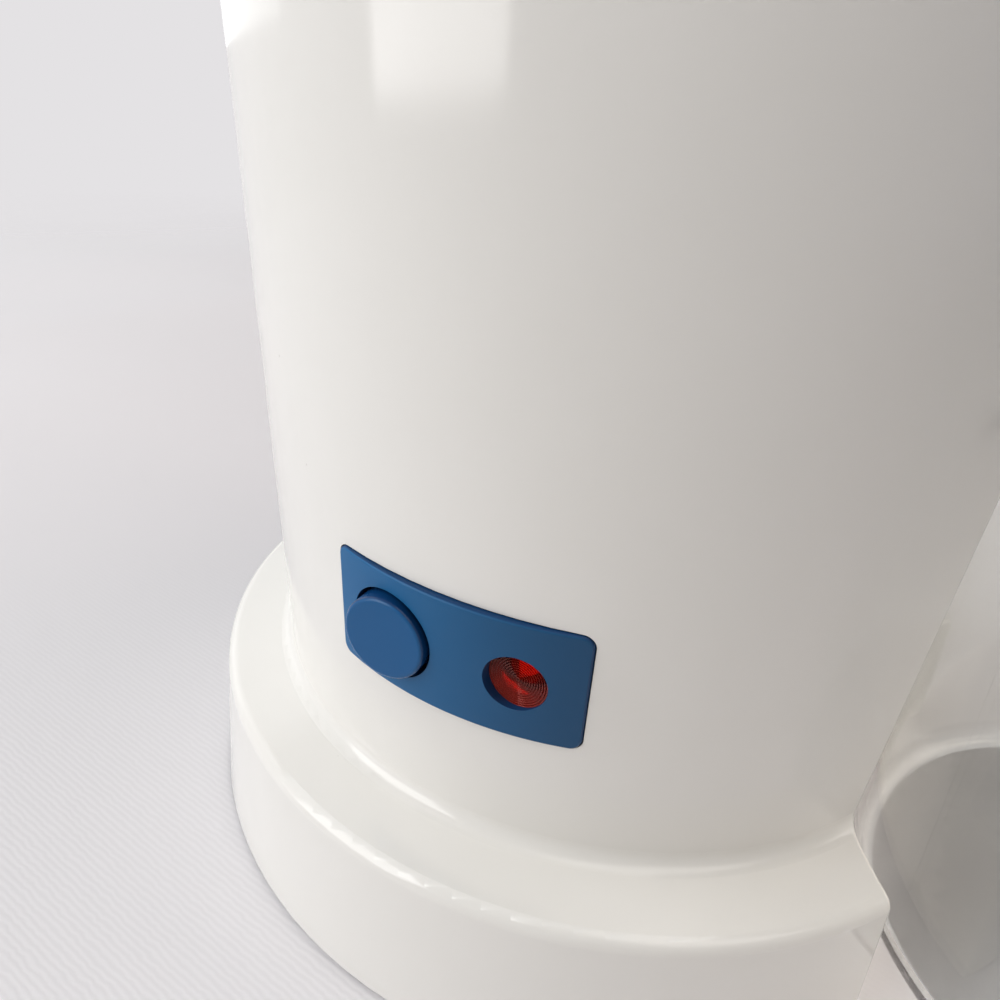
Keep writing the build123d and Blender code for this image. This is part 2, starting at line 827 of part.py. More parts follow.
# a strap over each leg, bent from sheet: two legs, a bridge and a screwed foot
strap_half = heater_bar_width / 2 + slip
strap_top = heater_height + heater_bar_height / 2 + slip
strap_outer = heater_bend_radius + strap_half
strap_inner = heater_bend_radius - strap_half
with BuildPart() as heater_straps:
    for side in (-1, 1):
        with BuildSketch(tower_side.offset(heater_post_x - heater_bracket_width / 2)):
            with BuildLine():
                Polyline(
                    (side * bracket_reach, heater_underside),
                    (side * strap_outer, heater_underside),
                    (side * strap_outer, strap_top),
                    (side * strap_inner, strap_top),
                    (side * strap_inner, heater_underside),
                    (side * (strap_inner - heater_sheet), heater_underside),
                    (side * (strap_inner - heater_sheet), strap_top + heater_sheet),
                    (side * (strap_outer + heater_sheet), strap_top + heater_sheet),
                    (side * (strap_outer + heater_sheet), heater_underside + heater_sheet),
                    (side * bracket_reach, heater_underside + heater_sheet),
                    close=True,
                )
            make_face()
        extrude(amount=heater_bracket_width)
    with BuildSketch(tower_floor.offset(heater_underside)):
        with Locations((heater_post_x, -heater_post_y), (heater_post_x, heater_post_y)):
            Circle(screw_radius + slip)
    extrude(amount=heater_sheet, mode=Mode.SUBTRACT)
save(heater_straps, "heater_straps")

strap_screw = pan_screw(screw_length)
with BuildPart() as strap_screws:
    for y in (-heater_post_y, heater_post_y):
        strap_screw_head = heater_underside + heater_sheet + screw_head_height
        with Locations(Location((tower_x + heater_post_x, y, strap_screw_head), (180, 0, 0))):
            add(strap_screw)
save(strap_screws, "strap_screws")

bar_top = heater_height + heater_bar_height / 2
thermostat_x = heater_bend_x - heater_bend_radius
with BuildPart() as thermostat:
    with BuildSketch(tower_floor.offset(bar_top)):
        with Locations((thermostat_x, 0)):
            Circle(thermostat_radius)
    extrude(amount=thermostat_height)
    with BuildSketch(tower_floor.offset(bar_top)):
        with Locations((thermostat_x, 0)):
            SlotOverall(thermostat_ear_span, thermostat_radius, rotation=90)
            with GridLocations(0, thermostat_screw_span, 1, 2):
                Circle(screw_radius, mode=Mode.SUBTRACT)
    extrude(amount=heater_sheet)
    with BuildSketch(tower_floor.offset(bar_top + thermostat_height)):
        with Locations((thermostat_x, 0)):
            with GridLocations(0, thermostat_blade_span, 1, 2):
                Rectangle(blade_width, blade_thickness)
    extrude(amount=blade_length)
save(thermostat, "thermostat")

fuse_sleeve_radius = fuse_radius + fuse_sleeve
fuse_end_x = heater_post_x + heater_bracket_width / 2 + parting_gap
fuse_start = Plane(
    origin=(tower_x + fuse_end_x, heater_bend_radius, bar_top + fuse_sleeve_radius),
    x_dir=(0, 1, 0),
    z_dir=(1, 0, 0),
)
with BuildPart() as thermal_fuse:
    with BuildSketch(fuse_start):
        Circle(fuse_radius)
    extrude(amount=fuse_length)
    fillet(thermal_fuse.edges(), fuse_radius / 4)
    with BuildSketch(fuse_start.offset(fuse_length)):
        Circle(lamp_lead_radius)
    extrude(amount=blade_length)
save(thermal_fuse, "thermal_fuse")

with BuildPart() as fuse_cover:
    with BuildSketch(fuse_start):
        Circle(fuse_sleeve_radius)
        Circle(fuse_radius + slip / 2, mode=Mode.SUBTRACT)
    extrude(amount=fuse_length)
save(fuse_cover, "fuse_sleeve")

# ---------------------------------------------------------------- water tank

tank_inset = wall + tank_gap
flange_inset = wall / 2 + moulded_gap
inlet_y = water_bend_radius
hose_bore = water_tube_radius + slip
stub_radius = water_tube_radius
stub_bottom = tank_floor_height - stub_length
tank_inner_floor = tank_floor_height + tank_floor

tank_outside = tower_column(tank_inset, tank_floor_height, housing_top)
tank_inside = tower_column(tank_inset + tank_wall, tank_inner_floor, housing_top)
tank_mouth = tower_column(tank_inset + tank_wall, housing_top, housing_top + tank_flange)
tank_rim = tower_column(flange_inset, housing_top, housing_top + tank_flange)

with BuildPart() as water_tank:
    add(tank_outside)
    add(tank_rim)
    add(tank_inside, mode=Mode.SUBTRACT)
    add(tank_mouth, mode=Mode.SUBTRACT)
    with BuildSketch(tower_floor.offset(stub_bottom)):
        with Locations((riser_x, inlet_y)):
            Circle(stub_radius)
    extrude(amount=stub_length)
    with BuildSketch(tower_floor.offset(stub_bottom)):
        with Locations((riser_x, inlet_y)):
            Circle(stub_bore / 2)
        with Locations((riser_x, 0)):
            Circle(grommet_radius)
    extrude(amount=tank_inner_floor - stub_bottom, mode=Mode.SUBTRACT)
    # opening for the spout
    with BuildSketch(tower_side.offset(riser_x)):
        with Locations((0, spout_height)):
            RectangleRounded(
                spout_width + 2 * moulded_gap, spout_depth + 2 * moulded_gap, spout_corner + moulded_gap
            )
    extrude(amount=spout_reach - riser_x, mode=Mode.SUBTRACT)
save(water_tank, "water_tank")

riser_section = Plane(origin=(tower_x + riser_x, 0, 0), x_dir=(1, 0, 0), z_dir=(0, -1, 0))
riser_line = Axis((tower_x + riser_x, 0, 0), (0, 0, 1))
with BuildPart() as tank_grommet:
    with BuildSketch(riser_section):
        with BuildLine():
            Polyline(
                (stub_radius + slip, tank_floor_height - grommet_flange),
                (grommet_radius + grommet_flange, tank_floor_height - grommet_flange),
                (grommet_radius + grommet_flange, tank_floor_height),
                (grommet_radius, tank_floor_height),
                (grommet_radius, tank_inner_floor),
                (grommet_radius + grommet_flange, tank_inner_floor),
                (grommet_radius + grommet_flange, tank_inner_floor + grommet_flange),
                (stub_radius + slip, tank_inner_floor + grommet_flange),
                close=True,
            )
        make_face()
    revolve(axis=riser_line)
save(tank_grommet, "tank_grommet")

riser_top = spout_height - channel_radius - tank_wall / 2
with BuildPart() as riser_tube:
    with BuildSketch(tower_floor.offset(stub_bottom)):
        with Locations((riser_x, 0)):
            Circle(stub_radius)
            Circle(stub_bore / 2, mode=Mode.SUBTRACT)
    extrude(amount=riser_top - stub_bottom)
save(riser_tube, "riser_tube")

hose_radius = hose_bore + hose_wall
hose_start_x = water_tube_end_x - hose_overlap
hose_top = stub_bottom + hose_overlap
riser_level_height = stub_bottom - riser_level_drop
riser_turn_height = riser_level_height - riser_rise
riser_turn = atan2(water_bend_radius, riser_rise)
riser_span = hypot(water_bend_radius, riser_rise)


def corner_radius(shorter_run, turn):
    """The largest arc that a corner leaves room for."""
    return corner_share * shorter_run / tan(turn / 2)


foot_run = riser_x - hose_start_x
rise_run = riser_turn_height - heater_height
top_run = hose_top - riser_level_height


def bent_hose(points, radii):
    """A hose along straight runs joined by arcs."""
    with BuildLine() as route:
        path = FilletPolyline(*points, radius=radii)
    with BuildPart() as hose:
        with BuildSketch(Plane(origin=path @ 0, z_dir=path % 0)):
            Circle(hose_radius)
            Circle(hose_bore, mode=Mode.SUBTRACT)
        sweep(path=route.line)
    return hose.part


with BuildPart() as inlet_hose:
    add(
        bent_hose(
            [
                (tower_x + hose_start_x, inlet_y, heater_height),
                (tower_x + riser_x, inlet_y, heater_height),
                (tower_x + riser_x, inlet_y, hose_top),
            ],
            [corner_radius(foot_run, pi / 2)],
        )
    )
save(inlet_hose, "inlet_hose")

with BuildPart() as riser_hose:
    add(
        bent_hose(
            [
                (tower_x + hose_start_x, -water_bend_radius, heater_height),
                (tower_x + riser_x, -water_bend_radius, heater_height),
                (tower_x + riser_x, -water_bend_radius, riser_turn_height),
                (tower_x + riser_x, 0, riser_level_height),
                (tower_x + riser_x, 0, hose_top),
            ],
            [
                corner_radius(foot_run, pi / 2),
                corner_radius(rise_run, riser_turn),
                corner_radius(min(top_run, riser_span), riser_turn),
            ],
        )
    )
save(riser_hose, "riser_hose")

# sprung band clamps on the four hose ends
clamp_x = hose_start_x + hose_overlap / 2
clamp_z = hose_top - hose_overlap / 2
with BuildPart() as hose_clamps:
    for y in (-water_bend_radius, water_bend_radius):
        with BuildSketch(tower_side.offset(clamp_x - clamp_width / 2)):
            with Locations((y, heater_height)):
                Circle(hose_radius + slip / 2 + clamp_thickness)
                with Locations((0, hose_radius + clamp_width / 2)):
                    Rectangle(2 * clamp_thickness, clamp_width)
                Circle(hose_radius + slip / 2, mode=Mode.SUBTRACT)
        extrude(amount=clamp_width)
    for y in (0, inlet_y):
        with BuildSketch(tower_floor.offset(clamp_z - clamp_width / 2)):
            with Locations((riser_x, y)):
                Circle(hose_radius + slip / 2 + clamp_thickness)
                with Locations((-hose_radius - clamp_width / 2, 0)):
                    Rectangle(clamp_width, 2 * clamp_thickness)
                Circle(hose_radius + slip / 2, mode=Mode.SUBTRACT)
        extrude(amount=clamp_width)
save(hose_clamps, "hose_clamps")

# non-return valve in the inlet hose: a cage with a seat below and a ball in it
valve_top = stub_bottom - parting_gap
valve_radius = hose_bore - slip
with BuildPart() as check_valve:
    with BuildSketch(tower_floor.offset(valve_top - valve_length)):
        with Locations((riser_x, inlet_y)):
            Circle(valve_radius)
    extrude(amount=valve_length)
    with BuildSketch(tower_floor.offset(valve_top - valve_length)):
        with Locations((riser_x, inlet_y)):
            Circle(valve_seat_radius)
    extrude(amount=valve_length, mode=Mode.SUBTRACT)
    with BuildSketch(tower_floor.offset(valve_top - valve_length + valve_ball_radius)):
        with Locations((riser_x, inlet_y)):
            Circle(valve_ball_radius + moving_gap)
    extrude(amount=valve_length - 2 * valve_ball_radius, mode=Mode.SUBTRACT)
save(check_valve, "check_valve")

with BuildPart() as valve_ball:
    ball_rest = sqrt(valve_ball_radius**2 - valve_seat_radius**2)
    ball_height = valve_top - valve_length + valve_ball_radius + ball_rest + pin_gap
    with Locations((tower_x + riser_x, inlet_y, ball_height)):
        Sphere(valve_ball_radius)
save(valve_ball, "valve_ball")

# ---------------------------------------------------------------- spout

spout_bottom = spout_height - spout_depth / 2
with BuildPart() as spout:
    with BuildSketch(tower_side.offset(riser_x)):
        with Locations((0, spout_height)):
            RectangleRounded(spout_width, spout_depth, spout_corner)
    extrude(amount=spout_reach - riser_x)
    fillet(spout.faces().sort_by(Axis.X)[-1].edges(), spout_end_round)
    with BuildSketch(tower_floor.offset(riser_top - socket_drop)):
        with Locations((riser_x, 0)):
            Circle(socket_radius)
    extrude(amount=spout_height + spout_depth / 2 - riser_top + socket_drop)
    with BuildSketch(tower_floor.offset(spout_bottom)):
        with Locations((nozzle_x, 0)):
            Circle(nozzle_radius)
    extrude(amount=-nozzle_drop, taper=nozzle_taper)
    # water channel: up the socket, along the arm and down the nozzle
    with BuildSketch(tower_floor.offset(riser_top - socket_drop)):
        with Locations((riser_x, 0)):
            Circle(stub_radius + slip)
    extrude(amount=socket_drop, mode=Mode.SUBTRACT)
    with BuildSketch(tower_side.offset(riser_x - channel_radius)):
        with Locations((0, spout_height)):
            Circle(channel_radius)
    extrude(amount=nozzle_x - riser_x + 2 * channel_radius, mode=Mode.SUBTRACT)
    with BuildSketch(tower_floor.offset(riser_top)):
        with Locations((riser_x, 0)):
            Circle(stub_bore / 2)
    extrude(amount=spout_height - riser_top, mode=Mode.SUBTRACT)
    with BuildSketch(tower_floor.offset(spout_bottom - nozzle_drop)):
        with Locations((nozzle_x, 0)):
            Circle(nozzle_bore)
    extrude(amount=spout_depth / 2 + nozzle_drop, mode=Mode.SUBTRACT)
save(spout, "spout")

# seal between tank and housing, round the spout
seal_low = spout_height - spout_depth
seal_high = spout_height + spout_depth
with BuildPart() as spout_seal:
    with BuildSketch(tower_side.offset(riser_x)):
        with Locations((0, spout_height)):
            RectangleRounded(
                spout_width + 2 * gasket_lip, spout_depth + 2 * gasket_lip, spout_corner + gasket_lip
            )
            RectangleRounded(
                spout_width + 2 * slip, spout_depth + 2 * slip, spout_corner + slip, mode=Mode.SUBTRACT
            )
    extrude(amount=spout_reach - riser_x)
    add(tower_column(wall + slip, seal_low, seal_high), mode=Mode.INTERSECT)
    add(tower_column(tank_inset - slip, seal_low, seal_high), mode=Mode.SUBTRACT)
save(spout_seal, "spout_seal")

# ---------------------------------------------------------------- top cover

skirt_bottom = housing_top + parting_gap
rim_top = housing_top + tank_flange
seat_radius = mouth_radius + lid_seat_width
seat_height = deck_top - lid_seat_depth
mouth_outer_radius = seat_radius + mouth_collar_wall
lid_axis_y = seat_radius + lid_axis_back
lid_axis_z = deck_top + lid_axis_lift
ear_mid_x = (lid_knuckle_width + hinge_ear_width) / 2 + parting_gap
mouth_plane = Plane((tower_x + mouth_x, 0, 0))
mouth_section = Plane(origin=(tower_x + mouth_x, 0, 0), x_dir=(1, 0, 0), z_dir=(0, -1, 0))
mouth_side = Plane(origin=(tower_x + mouth_x, 0, 0), x_dir=(0, 1, 0), z_dir=(1, 0, 0))
mouth_axis = Axis((tower_x + mouth_x, 0, 0), (0, 0, 1))

deck_outside = tower_column(0, skirt_bottom, deck_top, deck_shoulder)
deck_room = tower_column(wall, rim_top, deck_top - deck_plate, deck_shoulder / 2)
flange_room = tower_column(flange_inset - moulded_gap, housing_top, rim_top)

with BuildPart() as top_cover:
    add(deck_outside)
    fillet(nest_edges(top_cover), nest_edge_round)
    add(deck_room, mode=Mode.SUBTRACT)
    add(flange_room, mode=Mode.SUBTRACT)
    with BuildSketch(mouth_plane.offset(deck_top - collar_drop)):
        Circle(mouth_outer_radius)
    extrude(amount=collar_drop - deck_plate / 2)
    with BuildSketch(mouth_plane.offset(deck_top - collar_drop)):
        Circle(mouth_radius)
    extrude(amount=collar_drop, mode=Mode.SUBTRACT)
    with BuildSketch(mouth_plane.offset(seat_height)):
        Circle(seat_radius)
    extrude(amount=lid_seat_depth, mode=Mode.SUBTRACT)
    # ears for the lid's hinge pins
    for x in (-ear_mid_x, ear_mid_x):
        with BuildSketch(mouth_side.offset(x - hinge_ear_width / 2)):
            with Locations((lid_axis_y, lid_axis_z)):
                Circle(knuckle_radius)
            with Locations((lid_axis_y, (deck_top + lid_axis_z - deck_plate / 2) / 2)):
                Rectangle(2 * knuckle_radius, lid_axis_lift + deck_plate / 2)
        extrude(amount=hinge_ear_width)
    with BuildSketch(mouth_side.offset(-ear_mid_x - hinge_ear_width)):
        with Locations((lid_axis_y, lid_axis_z)):
            Circle(hinge_pin_radius)
    extrude(amount=2 * (ear_mid_x + hinge_ear_width), mode=Mode.SUBTRACT)
save(top_cover, "top_cover")

lid_radius = seat_radius - moving_gap
lid_under = seat_height + rest_gap
arm_under = deck_top + moving_gap
arm_top = lid_axis_z + knuckle_radius / 2
with BuildPart() as tank_lid:
    with BuildSketch(mouth_section):
        with BuildLine():
            crown = ThreePointArc(
                (-lid_radius, lid_under + lid_plate),
                (0, lid_under + lid_plate + lid_crown),
                (lid_radius, lid_under + lid_plate),
            )
            Polyline(crown @ 1, (lid_radius, lid_under), (-lid_radius, lid_under), crown @ 0)
        make_face()
        split(bisect_by=Plane.YZ, keep=Keep.TOP)
    revolve(axis=mouth_axis)
    # raised grip along the front edge
    with BuildSketch(mouth_plane.offset(lid_under + lid_plate / 2)):
        with Locations((0, -(lid_radius - 2 * grip_width))):
            SlotOverall(grip_length, grip_width)
    extrude(amount=lid_plate / 2 + grip_height)
    fillet(tank_lid.edges().group_by(Axis.Z)[-1], pod_round)
    plug_radius = mouth_radius - moving_gap
    with BuildSketch(mouth_plane.offset(lid_under)):
        Circle(plug_radius)
        Circle(plug_radius - lid_plug_wall, mode=Mode.SUBTRACT)
    extrude(amount=-lid_plug_depth)
    # arm back to the hinge
    arm_step_y = sqrt(lid_radius**2 - (lid_knuckle_width / 2) ** 2)
    arm_root_y = arm_step_y - 2 * lid_seat_width
    with BuildSketch(mouth_side.offset(-lid_knuckle_width / 2)):
        with BuildLine():
            Polyline(
                (arm_root_y, lid_under + lid_plate / 2),
                (arm_step_y, lid_under + lid_plate / 2),
                (arm_step_y, arm_under),
                (lid_axis_y, arm_under),
                (lid_axis_y, arm_top),
                (arm_root_y + lid_seat_width, arm_top),
                close=True,
            )
        make_face()
        with Locations((lid_axis_y, lid_axis_z)):
            Circle(knuckle_radius)
            Circle(hinge_pin_radius + pin_gap, mode=Mode.SUBTRACT)
    extrude(amount=lid_knuckle_width)
save(tank_lid, "tank_lid")

with BuildPart() as lid_hinge_pins:
    for side in (-1, 1):
        start = side * (lid_knuckle_width / 4)
        with BuildSketch(mouth_side.offset(start)):
            with Locations((lid_axis_y, lid_axis_z)):
                Circle(hinge_pin_radius)
        extrude(amount=side * (ear_mid_x + hinge_ear_width / 2) - start)
save(lid_hinge_pins, "lid_hinge_pins")

# ---------------------------------------------------------------- pitcher


def pitcher_radius(height):
    """Outer radius of the pitcher."""
    return pitcher_foot_radius + (pitcher_rim_radius - pitcher_foot_radius) * height / pitcher_height


def pitcher_body(inset, bottom, top, foot_round):
    """The pitcher's outline moved in by inset, with its pouring lip."""
    with BuildPart() as body:
        with BuildSketch(pitcher_front):
            with BuildLine():
                Polyline(
                    (0, bottom),
                    (pitcher_radius(bottom) - inset, bottom),
                    (pitcher_radius(top) - inset, top),
                    (0, top),
                    close=True,
                )
            make_face()
            fillet(vertices().group_by(Axis.Y)[0].sort_by(Axis.X)[-1], foot_round)
        revolve(axis=pitcher_axis)
        lip_low_x = pitcher_radius(lip_foot_height) - lip_low_radius
        lip_top_x = pitcher_rim_radius + lip_reach - lip_top_radius
        with BuildSketch(pitcher_ground.offset(lip_foot_height)):
            with Locations((-lip_low_x, 0)):
                Circle(lip_low_radius - inset)
        with BuildSketch(pitcher_ground.offset(top)):
            with Locations((-lip_top_x, 0)):
                Circle(lip_top_radius - inset)
        loft()
    return body.part


with BuildPart() as pitcher:
    add(pitcher_body(0, 0, pitcher_height, pitcher_foot_round))
    add(
        pitcher_body(pitcher_wall, pitcher_floor, pitcher_height, pitcher_foot_round - pitcher_wall),
        mode=Mode.SUBTRACT,
    )
save(pitcher, "pitcher")

handle_mid = handle_thickness / 2
handle_line_x = handle_reach - handle_mid
handle_path_top = handle_top - handle_mid
handle_path_bottom = handle_bottom + handle_mid
handle_root_x = pitcher_foot_radius - pitcher_wall

with BuildPart() as pitcher_handle:
    with BuildLine(pitcher_front):
        grip_line = FilletPolyline(
            (handle_root_x, handle_path_top),
            (handle_line_x, handle_path_top),
            (handle_line_x, handle_path_top - handle_upright),
            (handle_line_x - handle_lean, handle_path_bottom),
            (handle_root_x, handle_path_bottom),
            radius=[handle_bend, handle_ease, handle_bend],
        )
    with BuildSketch(Plane(origin=grip_line @ 0, x_dir=(0, 1, 0), z_dir=grip_line % 0)):
        RectangleRounded(handle_width, handle_thickness, handle_round)
    sweep(path=grip_line)
    add(pitcher_body(-slip / 2, 0, pitcher_height, pitcher_foot_round), mode=Mode.SUBTRACT)
save(pitcher_handle, "pitcher_handle")

# ---------------------------------------------------------------- steeping basket

drum_bottom = pitcher_height
drum_top = drum_bottom + drum_height
cup_radius = pitcher_rim_radius - pitcher_wall - cup_gap
cup_bottom = drum_bottom - cup_depth
cup_foot_radius = cup_radius - cup_draft
basket_axis_z = drum_top + basket_axis_lift
basket_ear_mid = (basket_knuckle_width + basket_ear_width) / 2 + parting_gap
basket_ear_root = sqrt((drum_radius - drum_wall / 2) ** 2 - basket_ear_mid**2)
basket_ear_height = 3 * knuckle_radius
dial_bottom = cup_bottom + basket_floor + slip
screen_bottom = dial_bottom + dial_thickness + moving_gap


def cup_inside_radius(height):
    """Inner radius of the tapered cup."""
    return cup_foot_radius - basket_floor + cup_draft * (height - cup_bottom) / cup_depth


with BuildPart() as steeping_basket:
    with BuildSketch(pitcher_front):
        with BuildLine():
            Polyline(
                (0, cup_bottom),
                (cup_foot_radius, cup_bottom),
                (cup_radius, drum_bottom),
                (drum_radius, drum_bottom),
                (drum_radius, drum_top),
                (drum_radius - drum_wall, drum_top),
                (drum_radius - drum_wall, drum_bottom + basket_floor),
                (cup_radius - basket_floor, drum_bottom + basket_floor),
                (cup_inside_radius(screen_bottom), screen_bottom),
                (cup_inside_radius(screen_bottom) - step_width, screen_bottom),
                (cup_inside_radius(screen_bottom) - step_width, cup_bottom + basket_floor),
                (0, cup_bottom + basket_floor),
                close=True,
            )
        make_face()
        fillet(vertices().group_by(Axis.Y)[0].sort_by(Axis.X)[-1], pod_round)
    revolve(axis=pitcher_axis)
    with BuildSketch(pitcher_ground.offset(cup_bottom)):
        with PolarLocations(drain_ring_radius, drain_count):
            Circle(drain_radius)
    extrude(amount=basket_floor, mode=Mode.SUBTRACT)
    # ears for the lid's hinge pin
    for y in (-basket_ear_mid, basket_ear_mid):
        with BuildSketch(pitcher_front.offset(y - basket_ear_width / 2)):
            with Locations((basket_axis_reach, basket_axis_z)):
                Circle(knuckle_radius)
            with BuildLine():
                Polyline(
                    (basket_ear_root, drum_top - basket_ear_height),
                    (basket_axis_reach + knuckle_radius, basket_axis_z - knuckle_radius),
                    (basket_axis_reach + knuckle_radius, basket_axis_z),
                    (basket_axis_reach - knuckle_radius, basket_axis_z),
                    (basket_axis_reach - knuckle_radius, drum_top),
                    (basket_ear_root, drum_top),
                    close=True,
                )
            make_face()
        extrude(amount=basket_ear_width)
    with BuildSketch(pitcher_front.offset(-basket_ear_mid - basket_ear_width)):
        with Locations((basket_axis_reach, basket_axis_z)):
            Circle(hinge_pin_radius)
    extrude(amount=2 * (basket_ear_mid + basket_ear_width), mode=Mode.SUBTRACT)
save(steeping_basket, "steeping_basket")

# brew strength: a disc that turns over the drain holes, with a stem and a knob
knob_bottom = dial_bottom + dial_stem_height
with BuildPart() as strength_dial:
    with BuildSketch(pitcher_ground.offset(dial_bottom)):
        Circle(dial_radius)
        with PolarLocations(drain_ring_radius, drain_count):
            Circle(drain_radius, mode=Mode.SUBTRACT)
    extrude(amount=dial_thickness)
    with BuildSketch(pitcher_ground.offset(dial_bottom)):
        Circle(dial_stem_radius)
    extrude(amount=dial_stem_height)
    with BuildSketch(pitcher_ground.offset(knob_bottom)):
        SlotOverall(dial_knob_length, dial_knob_width, rotation=90)
        Circle(dial_stem_radius + dial_thickness)
    extrude(amount=dial_knob_height)
    fillet(strength_dial.edges().group_by(Axis.Z)[-1], dial_knob_width / 4)
save(strength_dial, "strength_dial")

with BuildPart() as filter_screen:
    with BuildSketch(pitcher_ground.offset(screen_bottom)):
        Circle(cup_inside_radius(screen_bottom) - slip)
        Circle(dial_stem_radius + moving_gap, mode=Mode.SUBTRACT)
        for ring in range(screen_ring_count):
            ring_radius = screen_first_ring + ring * screen_ring_pitch
            with PolarLocations(ring_radius, screen_first_holes + ring * screen_more_holes):
                Circle(screen_hole_radius, mode=Mode.SUBTRACT)
    extrude(amount=screen_thickness)
save(filter_screen, "filter_screen")

basket_lid_under = drum_top + rest_gap
basket_lid_radius = drum_radius
with BuildPart() as basket_lid:
    with BuildSketch(pitcher_front):
        with BuildLine():
            lid_arc = ThreePointArc(
                (-basket_lid_radius, basket_lid_under + basket_lid_plate),
                (0, basket_lid_under + basket_lid_plate + basket_lid_crown),
                (basket_lid_radius, basket_lid_under + basket_lid_plate),
            )
            Polyline(
                lid_arc @ 1,
                (basket_lid_radius, basket_lid_under),
                (-basket_lid_radius, basket_lid_under),
                lid_arc @ 0,
            )
        make_face()
        split(bisect_by=Plane.YZ, keep=Keep.TOP)
    revolve(axis=pitcher_axis)
    # open notch under the spout's nozzle
    with BuildSketch(pitcher_ground.offset(basket_lid_under)):
        with Locations((-basket_lid_radius, 0)):
            SlotOverall(2 * notch_depth, notch_width)
    extrude(amount=2 * basket_lid_plate + basket_lid_crown, mode=Mode.SUBTRACT)
    # raised grip behind the notch
    with BuildSketch(pitcher_ground.offset(basket_lid_under + basket_lid_plate / 2)):
        with Locations((-grip_set_back, 0)):
            SlotOverall(grip_length, grip_width, rotation=90)
    extrude(amount=basket_lid_plate / 2 + basket_lid_crown + grip_height)
    fillet(basket_lid.edges().group_by(Axis.Z)[-1], pod_round)
    # arm and knuckle at the hinge
    with BuildSketch(pitcher_front.offset(-basket_knuckle_width / 2)):
        with Locations((basket_axis_reach, basket_axis_z)):
            Circle(knuckle_radius)
        with BuildLine():
            Polyline(
                (basket_lid_radius - 2 * knuckle_radius, basket_lid_under),
                (basket_axis_reach, basket_lid_under),
                (basket_axis_reach, basket_axis_z + knuckle_radius),
                (basket_lid_radius - 2 * knuckle_radius, basket_axis_z + knuckle_radius),
                close=True,
            )
        make_face()
        with Locations((basket_axis_reach, basket_axis_z)):
            Circle(hinge_pin_radius + pin_gap, mode=Mode.SUBTRACT)
    extrude(amount=basket_knuckle_width)
save(basket_lid, "basket_lid")

with BuildPart() as basket_hinge_pin:
    pin_half = basket_ear_mid + basket_ear_width / 2
    with BuildSketch(pitcher_front.offset(-pin_half)):
        with Locations((basket_axis_reach, basket_axis_z)):
            Circle(hinge_pin_radius)
    extrude(amount=2 * pin_half)
save(basket_hinge_pin, "basket_hinge_pin")

# ---------------------------------------------------------------- mains entry and leads

gland_seat = front_distance(wall + moulded_gap, gland_flange_radius, gland_height - gland_flange_radius)
gland_bore_start = tower_radius(gland_height) + slip
gland_end = tower_radius(gland_height) + gland_reach
gland_rear_plane = tower_front.offset(gland_flange - gland_seat)
with BuildPart() as cord_gland:
    with BuildSketch(gland_rear_plane):
        with Locations((0, gland_height)):
            Circle(gland_radius)
    extrude(amount=-(gland_end - gland_seat + gland_flange))
    with BuildSketch(gland_rear_plane):
        with Locations((0, gland_height)):
            Circle(gland_flange_radius)
    extrude(amount=-gland_flange)
    # grooves that let the sleeve flex with the cord
    for groove in range(gland_groove_count):
        groove_start = gland_end - gland_groove_pitch * (groove + 1)
        with BuildSketch(tower_front.offset(-groove_start)):
            with Locations((0, gland_height)):
                Circle(gland_radius)
                Circle(gland_radius - gland_groove_depth, mode=Mode.SUBTRACT)
        extrude(amount=-gland_groove_width, mode=Mode.SUBTRACT)
    with BuildSketch(gland_rear_plane):
        with Locations((0, gland_height)):
            Circle(gland_clamp_bore)
    extrude(amount=-(gland_bore_start - gland_seat + gland_flange), mode=Mode.SUBTRACT)
    with BuildSketch(tower_front.offset(-gland_bore_start)):
        with Locations((0, gland_height)):
            Circle(gland_bore)
    extrude(amount=-(gland_end - gland_bore_start), mode=Mode.SUBTRACT)
save(cord_gland, "cord_gland")

with BuildPart() as terminal_block:
    with BuildSketch(tower_floor.offset(plate_top)):
        with Locations((terminal_x, 0)):
            Rectangle(terminal_width, terminal_length)
    extrude(amount=terminal_height)
    fillet(terminal_block.edges().filter_by(Axis.Z), pod_round)
    with BuildSketch(tower_floor.offset(plate_top + terminal_height)):
        with Locations((terminal_x, 0)):
            with GridLocations(0, terminal_length / 3, 1, 3):
                Circle(screw_radius)
    extrude(amount=-terminal_height / 2, mode=Mode.SUBTRACT)
save(terminal_block, "terminal_block")


def lead(points):
    """An insulated lead on straight runs joined by arcs."""
    runs = [hypot(*(b - a for a, b in zip(start, end))) for start, end in zip(points, points[1:])]
    radii = []
    for before, after, start, corner, end in zip(runs, runs[1:], points, points[1:], points[2:]):
        turn = radians((Vector(*corner) - Vector(*start)).get_angle(Vector(*end) - Vector(*corner)))
        radii.append(min(lead_bend, corner_radius(min(before, after), turn)))
    with BuildLine() as route:
        path = FilletPolyline(*[(tower_x + x, y, z) for x, y, z in points], radius=radii)
    with BuildPart() as wire:
        with BuildSketch(Plane(origin=path @ 0, z_dir=path % 0)):
            Circle(lead_radius)
        sweep(path=route.line)
    return wire.part


terminal_top = plate_top + terminal_height
blade_y = -(bracket_rear - switch_depth - blade_length)
blade_low = control_height - switch_height / 4
blade_high = control_height + switch_height / 4
thermostat_blade_y = thermostat_blade_span / 2
thermostat_blade_z = bar_top + thermostat_height + blade_length
element_blade_x = element_end_x + blade_length
lead_level = (thermostat_blade_z + control_height) / 2
under_bar_level = (terminal_top + heater_underside) / 2

